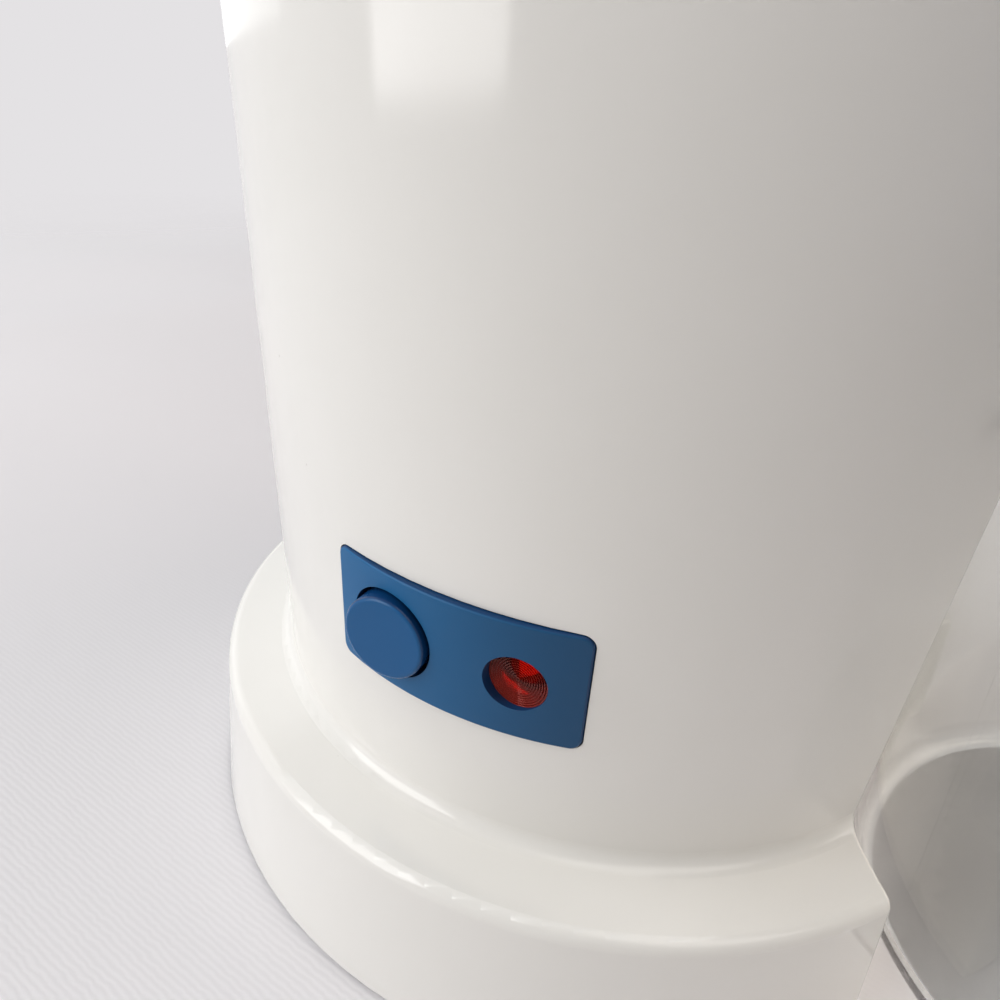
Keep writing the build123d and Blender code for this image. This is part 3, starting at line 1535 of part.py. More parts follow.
with BuildPart() as inner_leads:
    # terminal block up through the horseshoe to the switch
    add(
        lead(
            [
                (terminal_x, -terminal_length / 3, terminal_top),
                (terminal_x, -terminal_length / 3, under_bar_level),
                (heater_bend_x, 0, under_bar_level),
                (heater_bend_x, 0, blade_low),
                (button_x, blade_y / 2, blade_low),
                (button_x, blade_y, blade_low),
            ]
        )
    )
    # switch to thermostat
    add(
        lead(
            [
                (button_x, blade_y, blade_high),
                (button_x, blade_y / 2, blade_high),
                (thermostat_x, -thermostat_blade_y, blade_high),
                (thermostat_x, -thermostat_blade_y, thermostat_blade_z),
            ]
        )
    )
    # thermostat to the heating element
    add(
        lead(
            [
                (thermostat_x, thermostat_blade_y, thermostat_blade_z),
                (thermostat_x, thermostat_blade_y, lead_level),
                (element_blade_x + lead_bend, element_bend_radius, lead_level),
                (element_blade_x + lead_bend, element_bend_radius, heater_height),
                (element_blade_x, element_bend_radius, heater_height),
            ]
        )
    )
save(inner_leads, "inner_leads")
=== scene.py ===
# %% [markdown]
# # An iced tea maker in Blender
# The machine is a round white tower with a clear pitcher standing in a nest in its side.
# A blue panel low on the front carries a push button and a red pilot light.
# Its solid parts come from a CAD model, which loads as a fixed frame in real metres, so
# nothing has to be fitted: every part is already in its place.
# This lesson gives each part the finish of the real one, and then sets up cloth and light.

import math

import bpy
from mathutils import Matrix, Vector


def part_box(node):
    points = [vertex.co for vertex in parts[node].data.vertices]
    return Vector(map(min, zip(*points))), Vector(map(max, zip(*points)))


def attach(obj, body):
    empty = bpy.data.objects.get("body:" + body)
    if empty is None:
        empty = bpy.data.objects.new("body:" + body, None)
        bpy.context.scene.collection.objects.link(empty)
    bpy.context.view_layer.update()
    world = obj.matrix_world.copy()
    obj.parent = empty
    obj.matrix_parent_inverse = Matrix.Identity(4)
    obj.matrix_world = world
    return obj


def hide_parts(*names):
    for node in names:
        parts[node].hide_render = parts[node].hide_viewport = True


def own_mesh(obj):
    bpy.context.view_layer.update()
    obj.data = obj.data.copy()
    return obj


MM = 0.001
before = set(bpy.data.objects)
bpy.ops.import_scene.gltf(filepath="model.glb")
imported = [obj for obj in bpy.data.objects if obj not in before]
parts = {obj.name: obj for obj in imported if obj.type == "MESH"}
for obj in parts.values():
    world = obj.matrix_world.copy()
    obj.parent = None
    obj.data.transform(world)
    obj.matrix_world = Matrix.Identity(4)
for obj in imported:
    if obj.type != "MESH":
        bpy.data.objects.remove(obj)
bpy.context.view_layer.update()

# %% [markdown]
# ## The camera
# The machine is looked at from close by and from above, through a wide lens, so its upright
# walls run together towards the table. A long lens from further off would keep them upright
# and would show less of the ledge. The camera's place is kept in millimetres, because that
# is how one would measure it on the table: 9 cm in front of the wall and 15 cm up.

# %% Camera
CAMERA_PLACE = (-24.9, -162.7, 152.2)
HEADING, PITCH, ROLL = -26.2, 28.3, 4.8


def turned(heading, pitch, roll):
    """A camera's turn: heading from +Y towards +X, pitch below the horizon, then roll."""
    heading, pitch, roll = (math.radians(a) for a in (heading, pitch, roll))
    ahead = Vector(
        (math.sin(heading) * math.cos(pitch), math.cos(heading) * math.cos(pitch), -math.sin(pitch))
    )
    side = ahead.cross(Vector((0, 0, 1))).normalized()
    top = side.cross(ahead)
    x = side * math.cos(roll) + top * math.sin(roll)
    y = top * math.cos(roll) - side * math.sin(roll)
    return Matrix((x, y, -ahead)).transposed().to_4x4()


camera_data = bpy.data.cameras.new("camera")
camera_data.lens = 29.14
camera_data.sensor_width = 36
camera_data.clip_start = 10 * MM
camera = bpy.data.objects.new("camera", camera_data)
bpy.context.scene.collection.objects.link(camera)
camera.matrix_world = Matrix.Translation(Vector(CAMERA_PLACE) * MM) @ turned(HEADING, PITCH, ROLL)
bpy.context.scene.camera = camera
print("camera at", tuple(round(v, 4) for v in camera.location))

# %% [markdown]
# ## Colours and nodes
# A colour is given as a hex value, which is an sRGB number. Blender's shaders add up
# light, so they need the linear number, and one function turns each hex value into it.
# A material is a small graph of nodes. One function adds a node, sets its properties and
# fills or links its inputs, and another starts a material with its main shader.

# %% Colours and nodes


def linear(hex_colour):
    """A hex colour such as #2C5F8D as the linear red, green, blue and alpha of a shader."""
    channels = [int(hex_colour[i : i + 2], 16) / 255 for i in (1, 3, 5)]
    return (*[c / 12.92 if c <= 0.04045 else ((c + 0.055) / 1.055) ** 2.4 for c in channels], 1)


def add(tree, kind, settings=None, inputs=None):
    """Adds a node. An input's value is a plain one, or an output to link from."""
    node = tree.nodes.new(kind)
    for name, value in (settings or {}).items():
        setattr(node, name, value)
    for name, value in (inputs or {}).items():
        if isinstance(value, bpy.types.NodeSocket):
            tree.links.new(value, node.inputs[name])
        else:
            node.inputs[name].default_value = value
    return node


def per_mm(size):
    """Texture scale at which a pattern repeats about every so many millimetres."""
    return 1 / (size * MM)


def start(name, **sockets):
    """Starts a material with its main shader's plain values set."""
    finish = bpy.data.materials.new(name)
    finish.use_nodes = True
    tree = finish.node_tree
    shader = tree.nodes["Principled BSDF"]
    for socket, value in sockets.items():
        shader.inputs[socket.replace("_", " ")].default_value = value
    place = add(tree, "ShaderNodeTexCoord").outputs["Object"]
    return finish, tree, shader, place


def wear(*names, finish):
    """Gives CAD parts a finish, and prints which."""
    for name in names:
        parts[name].data.materials.clear()
        parts[name].data.materials.append(finish)
    print(finish.name, "on", ", ".join(names))


# %% [markdown]
# ## Moulded plastic
# Nearly every part of the machine is injection-moulded. The melt freezes against a steel
# mould and copies its surface, so a polished mould gives gloss and a spark-eroded one gives
# a fine dull grain. A mirror-flat gloss would look like glass: real mouldings are slightly
# wavy where the wall shrank, hold faint clouds of colour, and are smeared by hands.
# One recipe covers them all: colour clouds, a wave, a grain and smears, each at its own size.

# %% Moulded plastic


def moulded(name, colour, cloud, ior, gloss, smear, grain_mm, grain_depth, wave_depth, **more):
    """Injection-moulded plastic. Depths are in millimetres, gloss and smear are roughness."""
    finish, tree, shader, place = start(name, IOR=ior, **more)
    # clouds of colour about 40 mm wide, from the melt's flow
    flow = add(tree, "ShaderNodeTexNoise", {}, {"Vector": place, "Scale": per_mm(40), "Detail": 2})
    tint = add(
        tree, "ShaderNodeMix", {"data_type": "RGBA"},
        {0: flow.outputs["Fac"], 6: linear(colour), 7: linear(cloud)},
    )
    tree.links.new(tint.outputs[2], shader.inputs["Base Color"])
    # smears about 15 mm wide, where it was handled and wiped
    smears = add(tree, "ShaderNodeTexNoise", {}, {"Vector": place, "Scale": per_mm(15), "Detail": 4})
    rough = add(
        tree, "ShaderNodeMapRange", {},
        {
            "Value": smears.outputs["Fac"],
            "From Min": 0.35, "From Max": 0.7, "To Min": gloss, "To Max": smear,
        },
    )
    tree.links.new(rough.outputs[0], shader.inputs["Roughness"])
    # sink waves about 25 mm long, then the mould's own grain
    sink = add(tree, "ShaderNodeTexNoise", {}, {"Vector": place, "Scale": per_mm(25), "Detail": 1})
    grain = add(
        tree, "ShaderNodeTexNoise", {}, {"Vector": place, "Scale": per_mm(grain_mm), "Detail": 3}
    )
    waves = add(
        tree, "ShaderNodeBump", {},
        {"Height": sink.outputs["Fac"], "Distance": wave_depth * MM, "Strength": 1.0},
    )
    skin = add(
        tree, "ShaderNodeBump", {},
        {
            "Height": grain.outputs["Fac"], "Distance": grain_depth * MM, "Strength": 1.0,
            "Normal": waves.outputs[0],
        },
    )
    tree.links.new(skin.outputs[0], shader.inputs["Normal"])
    return finish


# %% [markdown]
# ## White ABS
# The tower, its covers and the lid are ABS from a polished mould. ABS is hard and takes a
# high gloss, with an IOR near 1.53, and this white is slightly warm. Its gloss is what shows
# the windows of the room, so the roughness stays low and the waves stay very shallow.
# A few specks of dust lie on it. They are about 0.3 mm across, so a Voronoi pattern gives
# one possible speck for each 14 mm cell, and only those near a cell's centre show.

# %% White ABS
white_abs = moulded(
    "white_abs", "#EFEDE9", "#E9E7E2", 1.53, gloss=0.09, smear=0.15,
    grain_mm=1.2, grain_depth=0.0006, wave_depth=0.03,
)
white_tree = white_abs.node_tree
white_shader = white_tree.nodes["Principled BSDF"]
white_place = white_tree.nodes["Texture Coordinate"].outputs["Object"]
cells = add(white_tree, "ShaderNodeTexVoronoi", {}, {"Vector": white_place, "Scale": per_mm(14)})
speck = add(
    white_tree, "ShaderNodeMapRange", {},
    {
        "Value": cells.outputs["Distance"],
        "From Min": 0.010, "From Max": 0.020, "To Min": 0.35, "To Max": 0.0,
    },
)
dusty = add(
    white_tree, "ShaderNodeMix", {"data_type": "RGBA"},
    {
        0: speck.outputs[0],
        6: white_shader.inputs["Base Color"].links[0].from_socket, 7: linear("#A79F92"),
    },
)
white_tree.links.new(dusty.outputs[2], white_shader.inputs["Base Color"])
wear("housing", "nest_panel", "top_cover", "tank_lid", "spout", finish=white_abs)

# %% [markdown]
# ## Blue ABS
# The panel is ABS too, but its mould was spark-eroded, which leaves pits about a quarter of
# a millimetre wide. They scatter the light and swallow part of the gloss, so its face looks
# soft. Its blue carries a painted shade that deepens from near the left end to the right end.
# The button comes from a polished mould and has a deeper blue. On both, the side walls carry
# a painted shade that makes them darker than the faces. The gradient and the dark sides are
# painted shade, a choice for the look, and light alone wouldn't give them here.

# %% Blue ABS
# the painted shade on the panel starts this far in from its left end
UNSHADED_LEFT = 8 * MM
panel_blue = moulded(
    "blue_abs_sparked", "#1F6498", "#1C6092", 1.53, gloss=0.36, smear=0.42,
    grain_mm=0.25, grain_depth=0.006, wave_depth=0.01, Specular_IOR_Level=0.22,
)
button_blue = moulded(
    "blue_abs_polished", "#13598F", "#115489", 1.53, gloss=0.20, smear=0.25,
    grain_mm=0.5, grain_depth=0.001, wave_depth=0.01, Specular_IOR_Level=0.25,
)


def mixed_into(finish, factor, colour):
    """Mixes one more colour into a finish's base colour, by a factor from 0 to 1."""
    tree = finish.node_tree
    base = tree.nodes["Principled BSDF"].inputs["Base Color"]
    mix = add(
        tree, "ShaderNodeMix", {"data_type": "RGBA"},
        {0: factor, 6: base.links[0].from_socket, 7: linear(colour)},
    )
    tree.links.new(mix.outputs[2], base)


def paint_side_shade(finish, colour):
    """Paints shade on the walls that don't face the front, -Y, by darkening their colour."""
    tree = finish.node_tree
    facing = add(
        tree, "ShaderNodeVectorMath", {"operation": "DOT_PRODUCT"},
        {0: tree.nodes["Texture Coordinate"].outputs["Normal"], 1: (0, -1, 0)},
    )
    side = add(
        tree, "ShaderNodeMapRange", {},
        {
            "Value": facing.outputs["Value"],
            "From Min": 0.55, "From Max": 0.80, "To Min": 1.0, "To Max": 0.0,
        },
    )
    mixed_into(finish, side.outputs[0], colour)


panel_low, panel_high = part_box("control_panel")
panel_tree = panel_blue.node_tree
panel_place = add(
    panel_tree, "ShaderNodeSeparateXYZ", {},
    {0: panel_tree.nodes["Texture Coordinate"].outputs["Object"]},
)
# painted shade: the panel's blue deepens from near its left end to its right end
painted_shade_right = add(
    panel_tree, "ShaderNodeMapRange", {"interpolation_type": "SMOOTHSTEP"},
    {
        "Value": panel_place.outputs["X"],
        "From Min": panel_low[0] + UNSHADED_LEFT, "From Max": panel_high[0], "To Min": 0.0, "To Max": 1.0,
    },
)
# 17486F is the painted shade's colour at the panel's right end
mixed_into(panel_blue, painted_shade_right.outputs[0], "#17486F")
# painted shade on the side walls of the panel and the button
paint_side_shade(panel_blue, "#113C68")
paint_side_shade(button_blue, "#0C3A69")
wear("control_panel", finish=panel_blue)
wear("push_button", finish=button_blue)

# %% [markdown]
# ## Polypropylene, nylon, acetal and the rest
# The basket and its lid are polypropylene, which is softer and waxier than ABS, so light goes
# a little way in and comes out again: a small subsurface weight does that. Nylon and acetal
# are the small hard parts, phenolic is the thermostat's black body, and the feet are rubber.

# %% Other moulded parts
basket_blue = moulded(
    "blue_polypropylene", "#2B6196", "#26588A", 1.49, gloss=0.32, smear=0.40,
    grain_mm=0.4, grain_depth=0.003, wave_depth=0.03, Subsurface_Weight=0.05, Subsurface_Scale=0.001,
)
tank_natural = moulded(
    "natural_polypropylene", "#DFE0DB", "#D6D8D2", 1.49, gloss=0.35, smear=0.45,
    grain_mm=0.8, grain_depth=0.004, wave_depth=0.05, Subsurface_Weight=0.3, Subsurface_Scale=0.003,
)
plate_white = moulded(
    "white_abs_sparked", "#E6E4DF", "#DFDCD6", 1.53, gloss=0.42, smear=0.50,
    grain_mm=0.5, grain_depth=0.02, wave_depth=0.03,
)
nylon_black = moulded(
    "black_nylon", "#1E1E20", "#17171A", 1.53, gloss=0.35, smear=0.45,
    grain_mm=0.4, grain_depth=0.004, wave_depth=0.01,
)
pvc_black = moulded(
    "black_pvc", "#1D1D1E", "#171718", 1.54, gloss=0.45, smear=0.58,
    grain_mm=0.6, grain_depth=0.006, wave_depth=0.02,
)
nylon_natural = moulded(
    "natural_nylon", "#E4DFCE", "#DAD3BF", 1.53, gloss=0.32, smear=0.40,
    grain_mm=0.6, grain_depth=0.002, wave_depth=0.01, Subsurface_Weight=0.2, Subsurface_Scale=0.001,
)
acetal_white = moulded(
    "white_acetal", "#ECEAE4", "#E5E2DA", 1.48, gloss=0.25, smear=0.33,
    grain_mm=0.6, grain_depth=0.001, wave_depth=0.005,
)
phenolic_black = moulded(
    "black_phenolic", "#221D1A", "#191513", 1.60, gloss=0.28, smear=0.36,
    grain_mm=0.3, grain_depth=0.001, wave_depth=0.01,
)
rubber_grey = moulded(
    "grey_rubber", "#4A4A4B", "#3D3D3F", 1.52, gloss=0.65, smear=0.80,
    grain_mm=0.5, grain_depth=0.02, wave_depth=0.01,
)
silicone_hose = moulded(
    "silicone_rubber", "#D9D8D0", "#CFCDC3", 1.41, gloss=0.40, smear=0.50,
    grain_mm=0.8, grain_depth=0.003, wave_depth=0.01, Subsurface_Weight=0.4, Subsurface_Scale=0.002,
)
wear("steeping_basket", "basket_lid", finish=basket_blue)
wear("water_tank", "riser_tube", finish=tank_natural)
wear("base_plate", "switch_bracket", finish=plate_white)
wear("power_switch", "lamp_holder", finish=nylon_black)
wear("cord_gland", finish=pvc_black)
wear("terminal_block", finish=nylon_natural)
wear("check_valve", "strength_dial", finish=acetal_white)
wear("thermostat", finish=phenolic_black)
wear("feet", finish=rubber_grey)
wear("tank_grommet", "inlet_hose", "riser_hose", "spout_seal", finish=silicone_hose)

# %% [markdown]
# ## Clear SAN, red acrylic and glass
# The pitcher and its handle are SAN, a clear stiff plastic with an IOR near 1.57 and a faint
# green-grey tint. The pilot light's lens is red acrylic, IOR 1.49, and the neon lamp behind
# it has a frosted glass bulb. It is drawn as lit: without its own orange-red light the lens
# would be nearly black. The lens's gloss is kept low, so that the pale room doesn't grey it.
# Clear parts still have fine scratches and haze, so their roughness follows a noise as well.
# A path tracer rarely finds a lamp through a bent clear wall, and would leave what is behind it in the
# dark. So rays sent out to the lamps pass straight through, dimmed by the part's own colour.

# %% Clear and coloured see-through parts


def see_through(name, colour, ior, clear, gloss, haze, scratch_depth):
    """A see-through plastic or glass. Gloss and haze are roughness, depth is in millimetres."""
    finish, tree, shader, place = start(
        name, IOR=ior, Transmission_Weight=clear, Base_Color=linear(colour)
    )
    clouds = add(tree, "ShaderNodeTexNoise", {}, {"Vector": place, "Scale": per_mm(20), "Detail": 3})
    rough = add(
        tree, "ShaderNodeMapRange", {},
        {
            "Value": clouds.outputs["Fac"],
            "From Min": 0.35, "From Max": 0.75, "To Min": gloss, "To Max": haze,
        },
    )
    tree.links.new(rough.outputs[0], shader.inputs["Roughness"])
    # scratches run round the part, so the pattern is squeezed in height
    lying = add(tree, "ShaderNodeMapping", {}, {"Vector": place, "Scale": (1, 1, 12)})
    scratches = add(
        tree, "ShaderNodeTexNoise", {}, {"Vector": lying.outputs[0], "Scale": per_mm(12), "Detail": 4}
    )
    skin = add(
        tree, "ShaderNodeBump", {},
        {"Height": scratches.outputs["Fac"], "Distance": scratch_depth * MM, "Strength": 1.0},
    )
    tree.links.new(skin.outputs[0], shader.inputs["Normal"])
    # the shader tints by the root of its colour at each face, so this does too
    each_face = [channel ** 0.5 for channel in linear(colour)]
    rays = add(tree, "ShaderNodeLightPath")
    window = add(tree, "ShaderNodeBsdfTransparent", {}, {"Color": each_face})
    both = add(
        tree, "ShaderNodeMixShader", {},
        {0: rays.outputs["Is Shadow Ray"], 1: shader.outputs[0], 2: window.outputs[0]},
    )
    tree.links.new(both.outputs[0], tree.nodes["Material Output"].inputs["Surface"])
    return finish


clear_san = see_through(
    "clear_san", "#F8FAF9", 1.57, 1.0, gloss=0.02, haze=0.06, scratch_depth=0.003
)
red_acrylic = see_through(
    "red_acrylic", "#DD2418", 1.49, 1.0, gloss=0.04, haze=0.09, scratch_depth=0.001
)
lens_look = red_acrylic.node_tree.nodes["Principled BSDF"].inputs
lens_look["Specular IOR Level"].default_value = 0.25
lens_look["Specular Tint"].default_value = linear("#C4766E")
frosted_glass = see_through(
    "frosted_glass", "#FBF3E6", 1.52, 0.2, gloss=0.35, haze=0.45, scratch_depth=0.001
)
glow = frosted_glass.node_tree.nodes["Principled BSDF"]
glow.inputs["Emission Color"].default_value = linear("#FF5A40")
glow.inputs["Emission Strength"].default_value = 1.3
wear("pitcher", "pitcher_handle", finish=clear_san)
wear("indicator_lens", finish=red_acrylic)
wear("neon_lamp", finish=frosted_glass)

# %% [markdown]
# ## The pilot light's lens
# The lens is a round window with eleven fine rings moulded into its face. Each ring is a
# shallow slope that dips towards the middle and ends in a step, so light from above glints
# once on every ring below the centre. The CAD solid has the same rings, but its mesh turns
# each small circle into a few straight sides. The profile is spun again here in 160 steps,
# with a slight hollow in each slope and its crests kept sharp.

# %% Pilot lens
LENS_RINGS = 11
RING_PITCH, RING_DEPTH = 0.42, 0.16
FLANGE_PLATE = 1.2
# flat land inside the innermost ring
LENS_LAND = 0.38
SLOPE_STEPS = 4
LENS_TURN = 160


def spun(name, profile, centre, sharp):
    """A closed surface from a profile of (radius, depth) points in mm, spun about the Y axis."""
    points, faces = [], []
    for step in range(LENS_TURN):
        angle = math.tau * step / LENS_TURN
        for radius, depth in profile[1:-1]:
            points.append(
                centre + Vector((radius * math.cos(angle), depth, radius * math.sin(angle))) * MM
            )
    front, back = len(points), len(points) + 1
    points += [centre + Vector((0, profile[i][1], 0)) * MM for i in (0, -1)]
    row = len(profile) - 2
    for step in range(LENS_TURN):
        here, there = step * row, (step + 1) % LENS_TURN * row
        faces.append((front, here, there))
        faces += [(here + i, here + i + 1, there + i + 1, there + i) for i in range(row - 1)]
        faces.append((here + row - 1, back, there + row - 1))
    mesh = bpy.data.meshes.new(name)
    mesh.from_pydata(points, [], faces)
    mesh.shade_smooth()
    for edge in mesh.edges:
        rings = {v % row for v in edge.vertices if v < front}
        edge.use_edge_sharp = len(rings) == 1 and rings.pop() + 1 in sharp
    piece = bpy.data.objects.new(name, mesh)
    bpy.context.scene.collection.objects.link(piece)
    return piece


low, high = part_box("indicator_lens")
lens_radius = (high[0] - low[0]) / 2 / MM
lens_deep = (high[1] - low[1]) / MM
face_radius = RING_PITCH * LENS_RINGS + LENS_LAND
lens_profile, crests = [(0, 0)], []
for ring in range(LENS_RINGS):
    inner = face_radius - (LENS_RINGS - ring) * RING_PITCH
    crests += [len(lens_profile), len(lens_profile) + 1]
    lens_profile.append((inner, 0))
    for step in range(SLOPE_STEPS):
        along = step / SLOPE_STEPS
        lens_profile.append((inner + along * RING_PITCH, RING_DEPTH * (1 - along ** 1.25)))
crests += [len(lens_profile) + i for i in range(4)]
lens_profile += [
    (face_radius, 0), (face_radius, lens_deep - FLANGE_PLATE), (lens_radius, lens_deep - FLANGE_PLATE),
    (lens_radius, lens_deep), (0, lens_deep),
]
lens_middle = Vector(((low[0] + high[0]) / 2, low[1], (low[2] + high[2]) / 2))
pilot_lens = spun("pilot_lens", lens_profile, lens_middle, crests)
# each crest carries a painted highlight: a paler line about 0.15 mm wide at the outer edge
# of its ring, where the acrylic is also less clear
lens_tree = red_acrylic.node_tree
lens_shader = lens_tree.nodes["Principled BSDF"]
from_middle = add(
    lens_tree, "ShaderNodeVectorMath", {"operation": "SUBTRACT"},
    {0: lens_tree.nodes["Texture Coordinate"].outputs["Object"], 1: lens_middle},
)
flat = add(
    lens_tree, "ShaderNodeVectorMath", {"operation": "MULTIPLY"},
    {0: from_middle.outputs[0], 1: (1, 0, 1)},
)
reach = add(lens_tree, "ShaderNodeVectorMath", {"operation": "LENGTH"}, {0: flat.outputs[0]})
turns = add(
    lens_tree, "ShaderNodeMath", {"operation": "MULTIPLY_ADD"},
    {0: reach.outputs["Value"], 1: per_mm(RING_PITCH), 2: -(face_radius % RING_PITCH) / RING_PITCH},
)
phase = add(lens_tree, "ShaderNodeMath", {"operation": "FRACT"}, {0: turns.outputs[0]})
crest = add(
    lens_tree, "ShaderNodeMapRange", {"interpolation_type": "SMOOTHSTEP"},
    {"Value": phase.outputs[0], "From Min": 0.58, "From Max": 0.75, "To Min": 1.0, "To Max": 0.6},
)
lens_tree.links.new(crest.outputs[0], lens_shader.inputs["Transmission Weight"])
# painted highlight: the crests are mixed towards a pale red, the slopes keep a deep red
painted_crest_highlight = add(
    lens_tree, "ShaderNodeMix", {"data_type": "RGBA"},
    {0: crest.outputs[0], 6: linear("#E2604C"), 7: linear("#8E150E")},
)
lens_tree.links.new(painted_crest_highlight.outputs[2], lens_shader.inputs["Base Color"])
pilot_lens.data.materials.append(red_acrylic)
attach(pilot_lens, "machine")
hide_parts("indicator_lens")
print("lens:", len(lens_profile), "profile points, radius", round(face_radius, 2), "mm")

# %% [markdown]
# ## Metals
# Inside are a cast aluminium heater bar, a drawn water tube, a steel element, and plated
# screws and straps. A metal has no colour under its gloss: the base colour is the gloss's
# own. Casting leaves grains, drawing and rolling leave lines along the part, and zinc
# plating leaves pale crystals, so one recipe takes the pattern's size and its stretch.

# %% Metals


def metal(name, colour, stain, gloss, dull, mark_mm, stretch, mark_depth):
    """A bare or plated metal. Marks are a noise stretched along one axis."""
    finish, tree, shader, place = start(name, Metallic=1.0)
    lined = add(tree, "ShaderNodeMapping", {}, {"Vector": place, "Scale": stretch})
    marks = add(
        tree, "ShaderNodeTexNoise", {},
        {"Vector": lined.outputs[0], "Scale": per_mm(mark_mm), "Detail": 4},
    )
    stains = add(tree, "ShaderNodeTexNoise", {}, {"Vector": place, "Scale": per_mm(9), "Detail": 3})
    tint = add(
        tree, "ShaderNodeMix", {"data_type": "RGBA"},
        {0: stains.outputs["Fac"], 6: linear(colour), 7: linear(stain)},
    )
    tree.links.new(tint.outputs[2], shader.inputs["Base Color"])
    rough = add(
        tree, "ShaderNodeMapRange", {}, {"Value": marks.outputs["Fac"], "To Min": gloss, "To Max": dull}
    )
    tree.links.new(rough.outputs[0], shader.inputs["Roughness"])
    skin = add(
        tree, "ShaderNodeBump", {},
        {"Height": marks.outputs["Fac"], "Distance": mark_depth * MM, "Strength": 1.0},
    )
    tree.links.new(skin.outputs[0], shader.inputs["Normal"])
    return finish


cast_aluminium = metal(
    "cast_aluminium", "#B4B6B8", "#9FA1A3", 0.42, 0.62,
    mark_mm=0.6, stretch=(1, 1, 1), mark_depth=0.03,
)
drawn_aluminium = metal(
    "drawn_aluminium", "#C6C8CA", "#B3B5B8", 0.25, 0.42,
    mark_mm=0.3, stretch=(0.1, 1, 1), mark_depth=0.004,
)
sheathed_steel = metal(
    "heat_tinted_steel", "#7B746A", "#5E564D", 0.35, 0.5,
    mark_mm=0.4, stretch=(0.2, 1, 1), mark_depth=0.004,
)
zinc_steel = metal(
    "zinc_plated_steel", "#BEC2C6", "#A8ADB3", 0.30, 0.48,
    mark_mm=1.5, stretch=(1, 1, 1), mark_depth=0.002,
)
stainless_steel = metal(
    "stainless_steel", "#C9C7C2", "#B9B6B0", 0.18, 0.32,
    mark_mm=0.3, stretch=(1, 0.15, 1), mark_depth=0.002,
)
tinned_brass = metal(
    "tinned_brass", "#C4BCA6", "#ADA38B", 0.28, 0.45,
    mark_mm=0.8, stretch=(1, 1, 1), mark_depth=0.002,
)
wear("heater_bar", finish=cast_aluminium)
wear("water_tube", finish=drawn_aluminium)
wear("heating_element", finish=sheathed_steel)
wear(
    "base_screws", "bracket_screws", "strap_screws", "heater_bracket", "heater_straps",
    finish=zinc_steel,
)
wear(
    "button_spring", "lid_hinge_pins", "basket_hinge_pin", "valve_ball", "hose_clamps",
    "filter_screen", finish=stainless_steel,
)
wear("thermal_fuse", finish=tinned_brass)

# %% [markdown]
# ## The button's return spring
# Four turns of steel wire stand between the bracket and the button, and they close up as the
# button goes in. The CAD solid is the spring at rest. The same coil is drawn again here as
# rings of points round a helix.

# %% Button spring
SPRING_TURNS, SPRING_WIRE = 4, 0.55
COIL_STEPS, WIRE_SIDES = 48, 12
spring_low, spring_high = (Vector(corner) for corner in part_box("button_spring"))
spring_axis = (spring_low + spring_high) / 2
spring_long = spring_high.y - spring_low.y
coil_radius = (spring_high.x - spring_low.x - SPRING_WIRE * MM) / 2
coil_long = spring_long - SPRING_WIRE * MM
coil_pitch = coil_long / SPRING_TURNS
coil_count = SPRING_TURNS * COIL_STEPS + 1
points, faces = [], []
for step in range(coil_count):
    # the wire starts at the bottom of its first turn
    angle = math.tau * (step / COIL_STEPS - 0.25)
    out = Vector((math.cos(angle), 0, math.sin(angle)))
    ahead = Vector((-out.z * coil_radius, -coil_pitch / math.tau, out.x * coil_radius)).normalized()
    middle = Vector((spring_axis.x, spring_high.y - SPRING_WIRE * MM / 2, spring_axis.z))
    middle += out * coil_radius - Vector((0, coil_pitch * step / COIL_STEPS, 0))
    for side in range(WIRE_SIDES):
        turn = math.tau * side / WIRE_SIDES
        around = out * math.cos(turn) + ahead.cross(out) * math.sin(turn)
        points.append(middle + around * SPRING_WIRE * MM / 2)
for step in range(coil_count - 1):
    for side in range(WIRE_SIDES):
        a, b = step * WIRE_SIDES + side, step * WIRE_SIDES + (side + 1) % WIRE_SIDES
        faces.append((a, b, b + WIRE_SIDES, a + WIRE_SIDES))
faces += [tuple(range(WIRE_SIDES))[::-1], tuple(range(len(points) - WIRE_SIDES, len(points)))]
spring_mesh = bpy.data.meshes.new("return_spring")
spring_mesh.from_pydata(points, [], faces)
spring_mesh.shade_smooth()
spring_mesh.materials.append(stainless_steel)
return_spring = bpy.data.objects.new("return_spring", spring_mesh)
bpy.context.scene.collection.objects.link(return_spring)
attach(return_spring, "machine")
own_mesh(return_spring)
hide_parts("button_spring")
print("spring:", round(spring_long / MM, 2), "mm long at rest")

# %% [markdown]
# ## Woven parts
# The leads and the fuse's sleeve are covered with braided glass fibre. A weave is two sets
# of threads, so two sine waves at right angles are multiplied, and the result drives both a
# bump and the thin shadow between the threads.

# %% Woven finishes


def woven(name, thread, gap, pitch_mm, thread_depth, roughness, across, along):
    """A weave with its two thread directions, thread pitch and depth in millimetres."""
    finish, tree, shader, place = start(name, Roughness=roughness)
    threads = []
    for direction in (across, along):
        run = add(
            tree, "ShaderNodeVectorMath", {"operation": "DOT_PRODUCT"}, {0: place, 1: direction}
        )
        turn = add(
            tree, "ShaderNodeMath", {"operation": "MULTIPLY"},
            {0: run.outputs["Value"], 1: math.tau * per_mm(pitch_mm)},
        )
        sine = add(tree, "ShaderNodeMath", {"operation": "SINE"}, {0: turn.outputs[0]})
        threads.append(add(tree, "ShaderNodeMath", {"operation": "ABSOLUTE"}, {0: sine.outputs[0]}))
    cloth = add(
        tree, "ShaderNodeMath", {"operation": "MULTIPLY"},
        {0: threads[0].outputs[0], 1: threads[1].outputs[0]},
    )
    tint = add(
        tree, "ShaderNodeMix", {"data_type": "RGBA"},
        {0: cloth.outputs[0], 6: linear(gap), 7: linear(thread)},
    )
    tree.links.new(tint.outputs[2], shader.inputs["Base Color"])
    skin = add(
        tree, "ShaderNodeBump", {},
        {"Height": cloth.outputs[0], "Distance": thread_depth * MM, "Strength": 1.0},
    )
    tree.links.new(skin.outputs[0], shader.inputs["Normal"])
    return finish


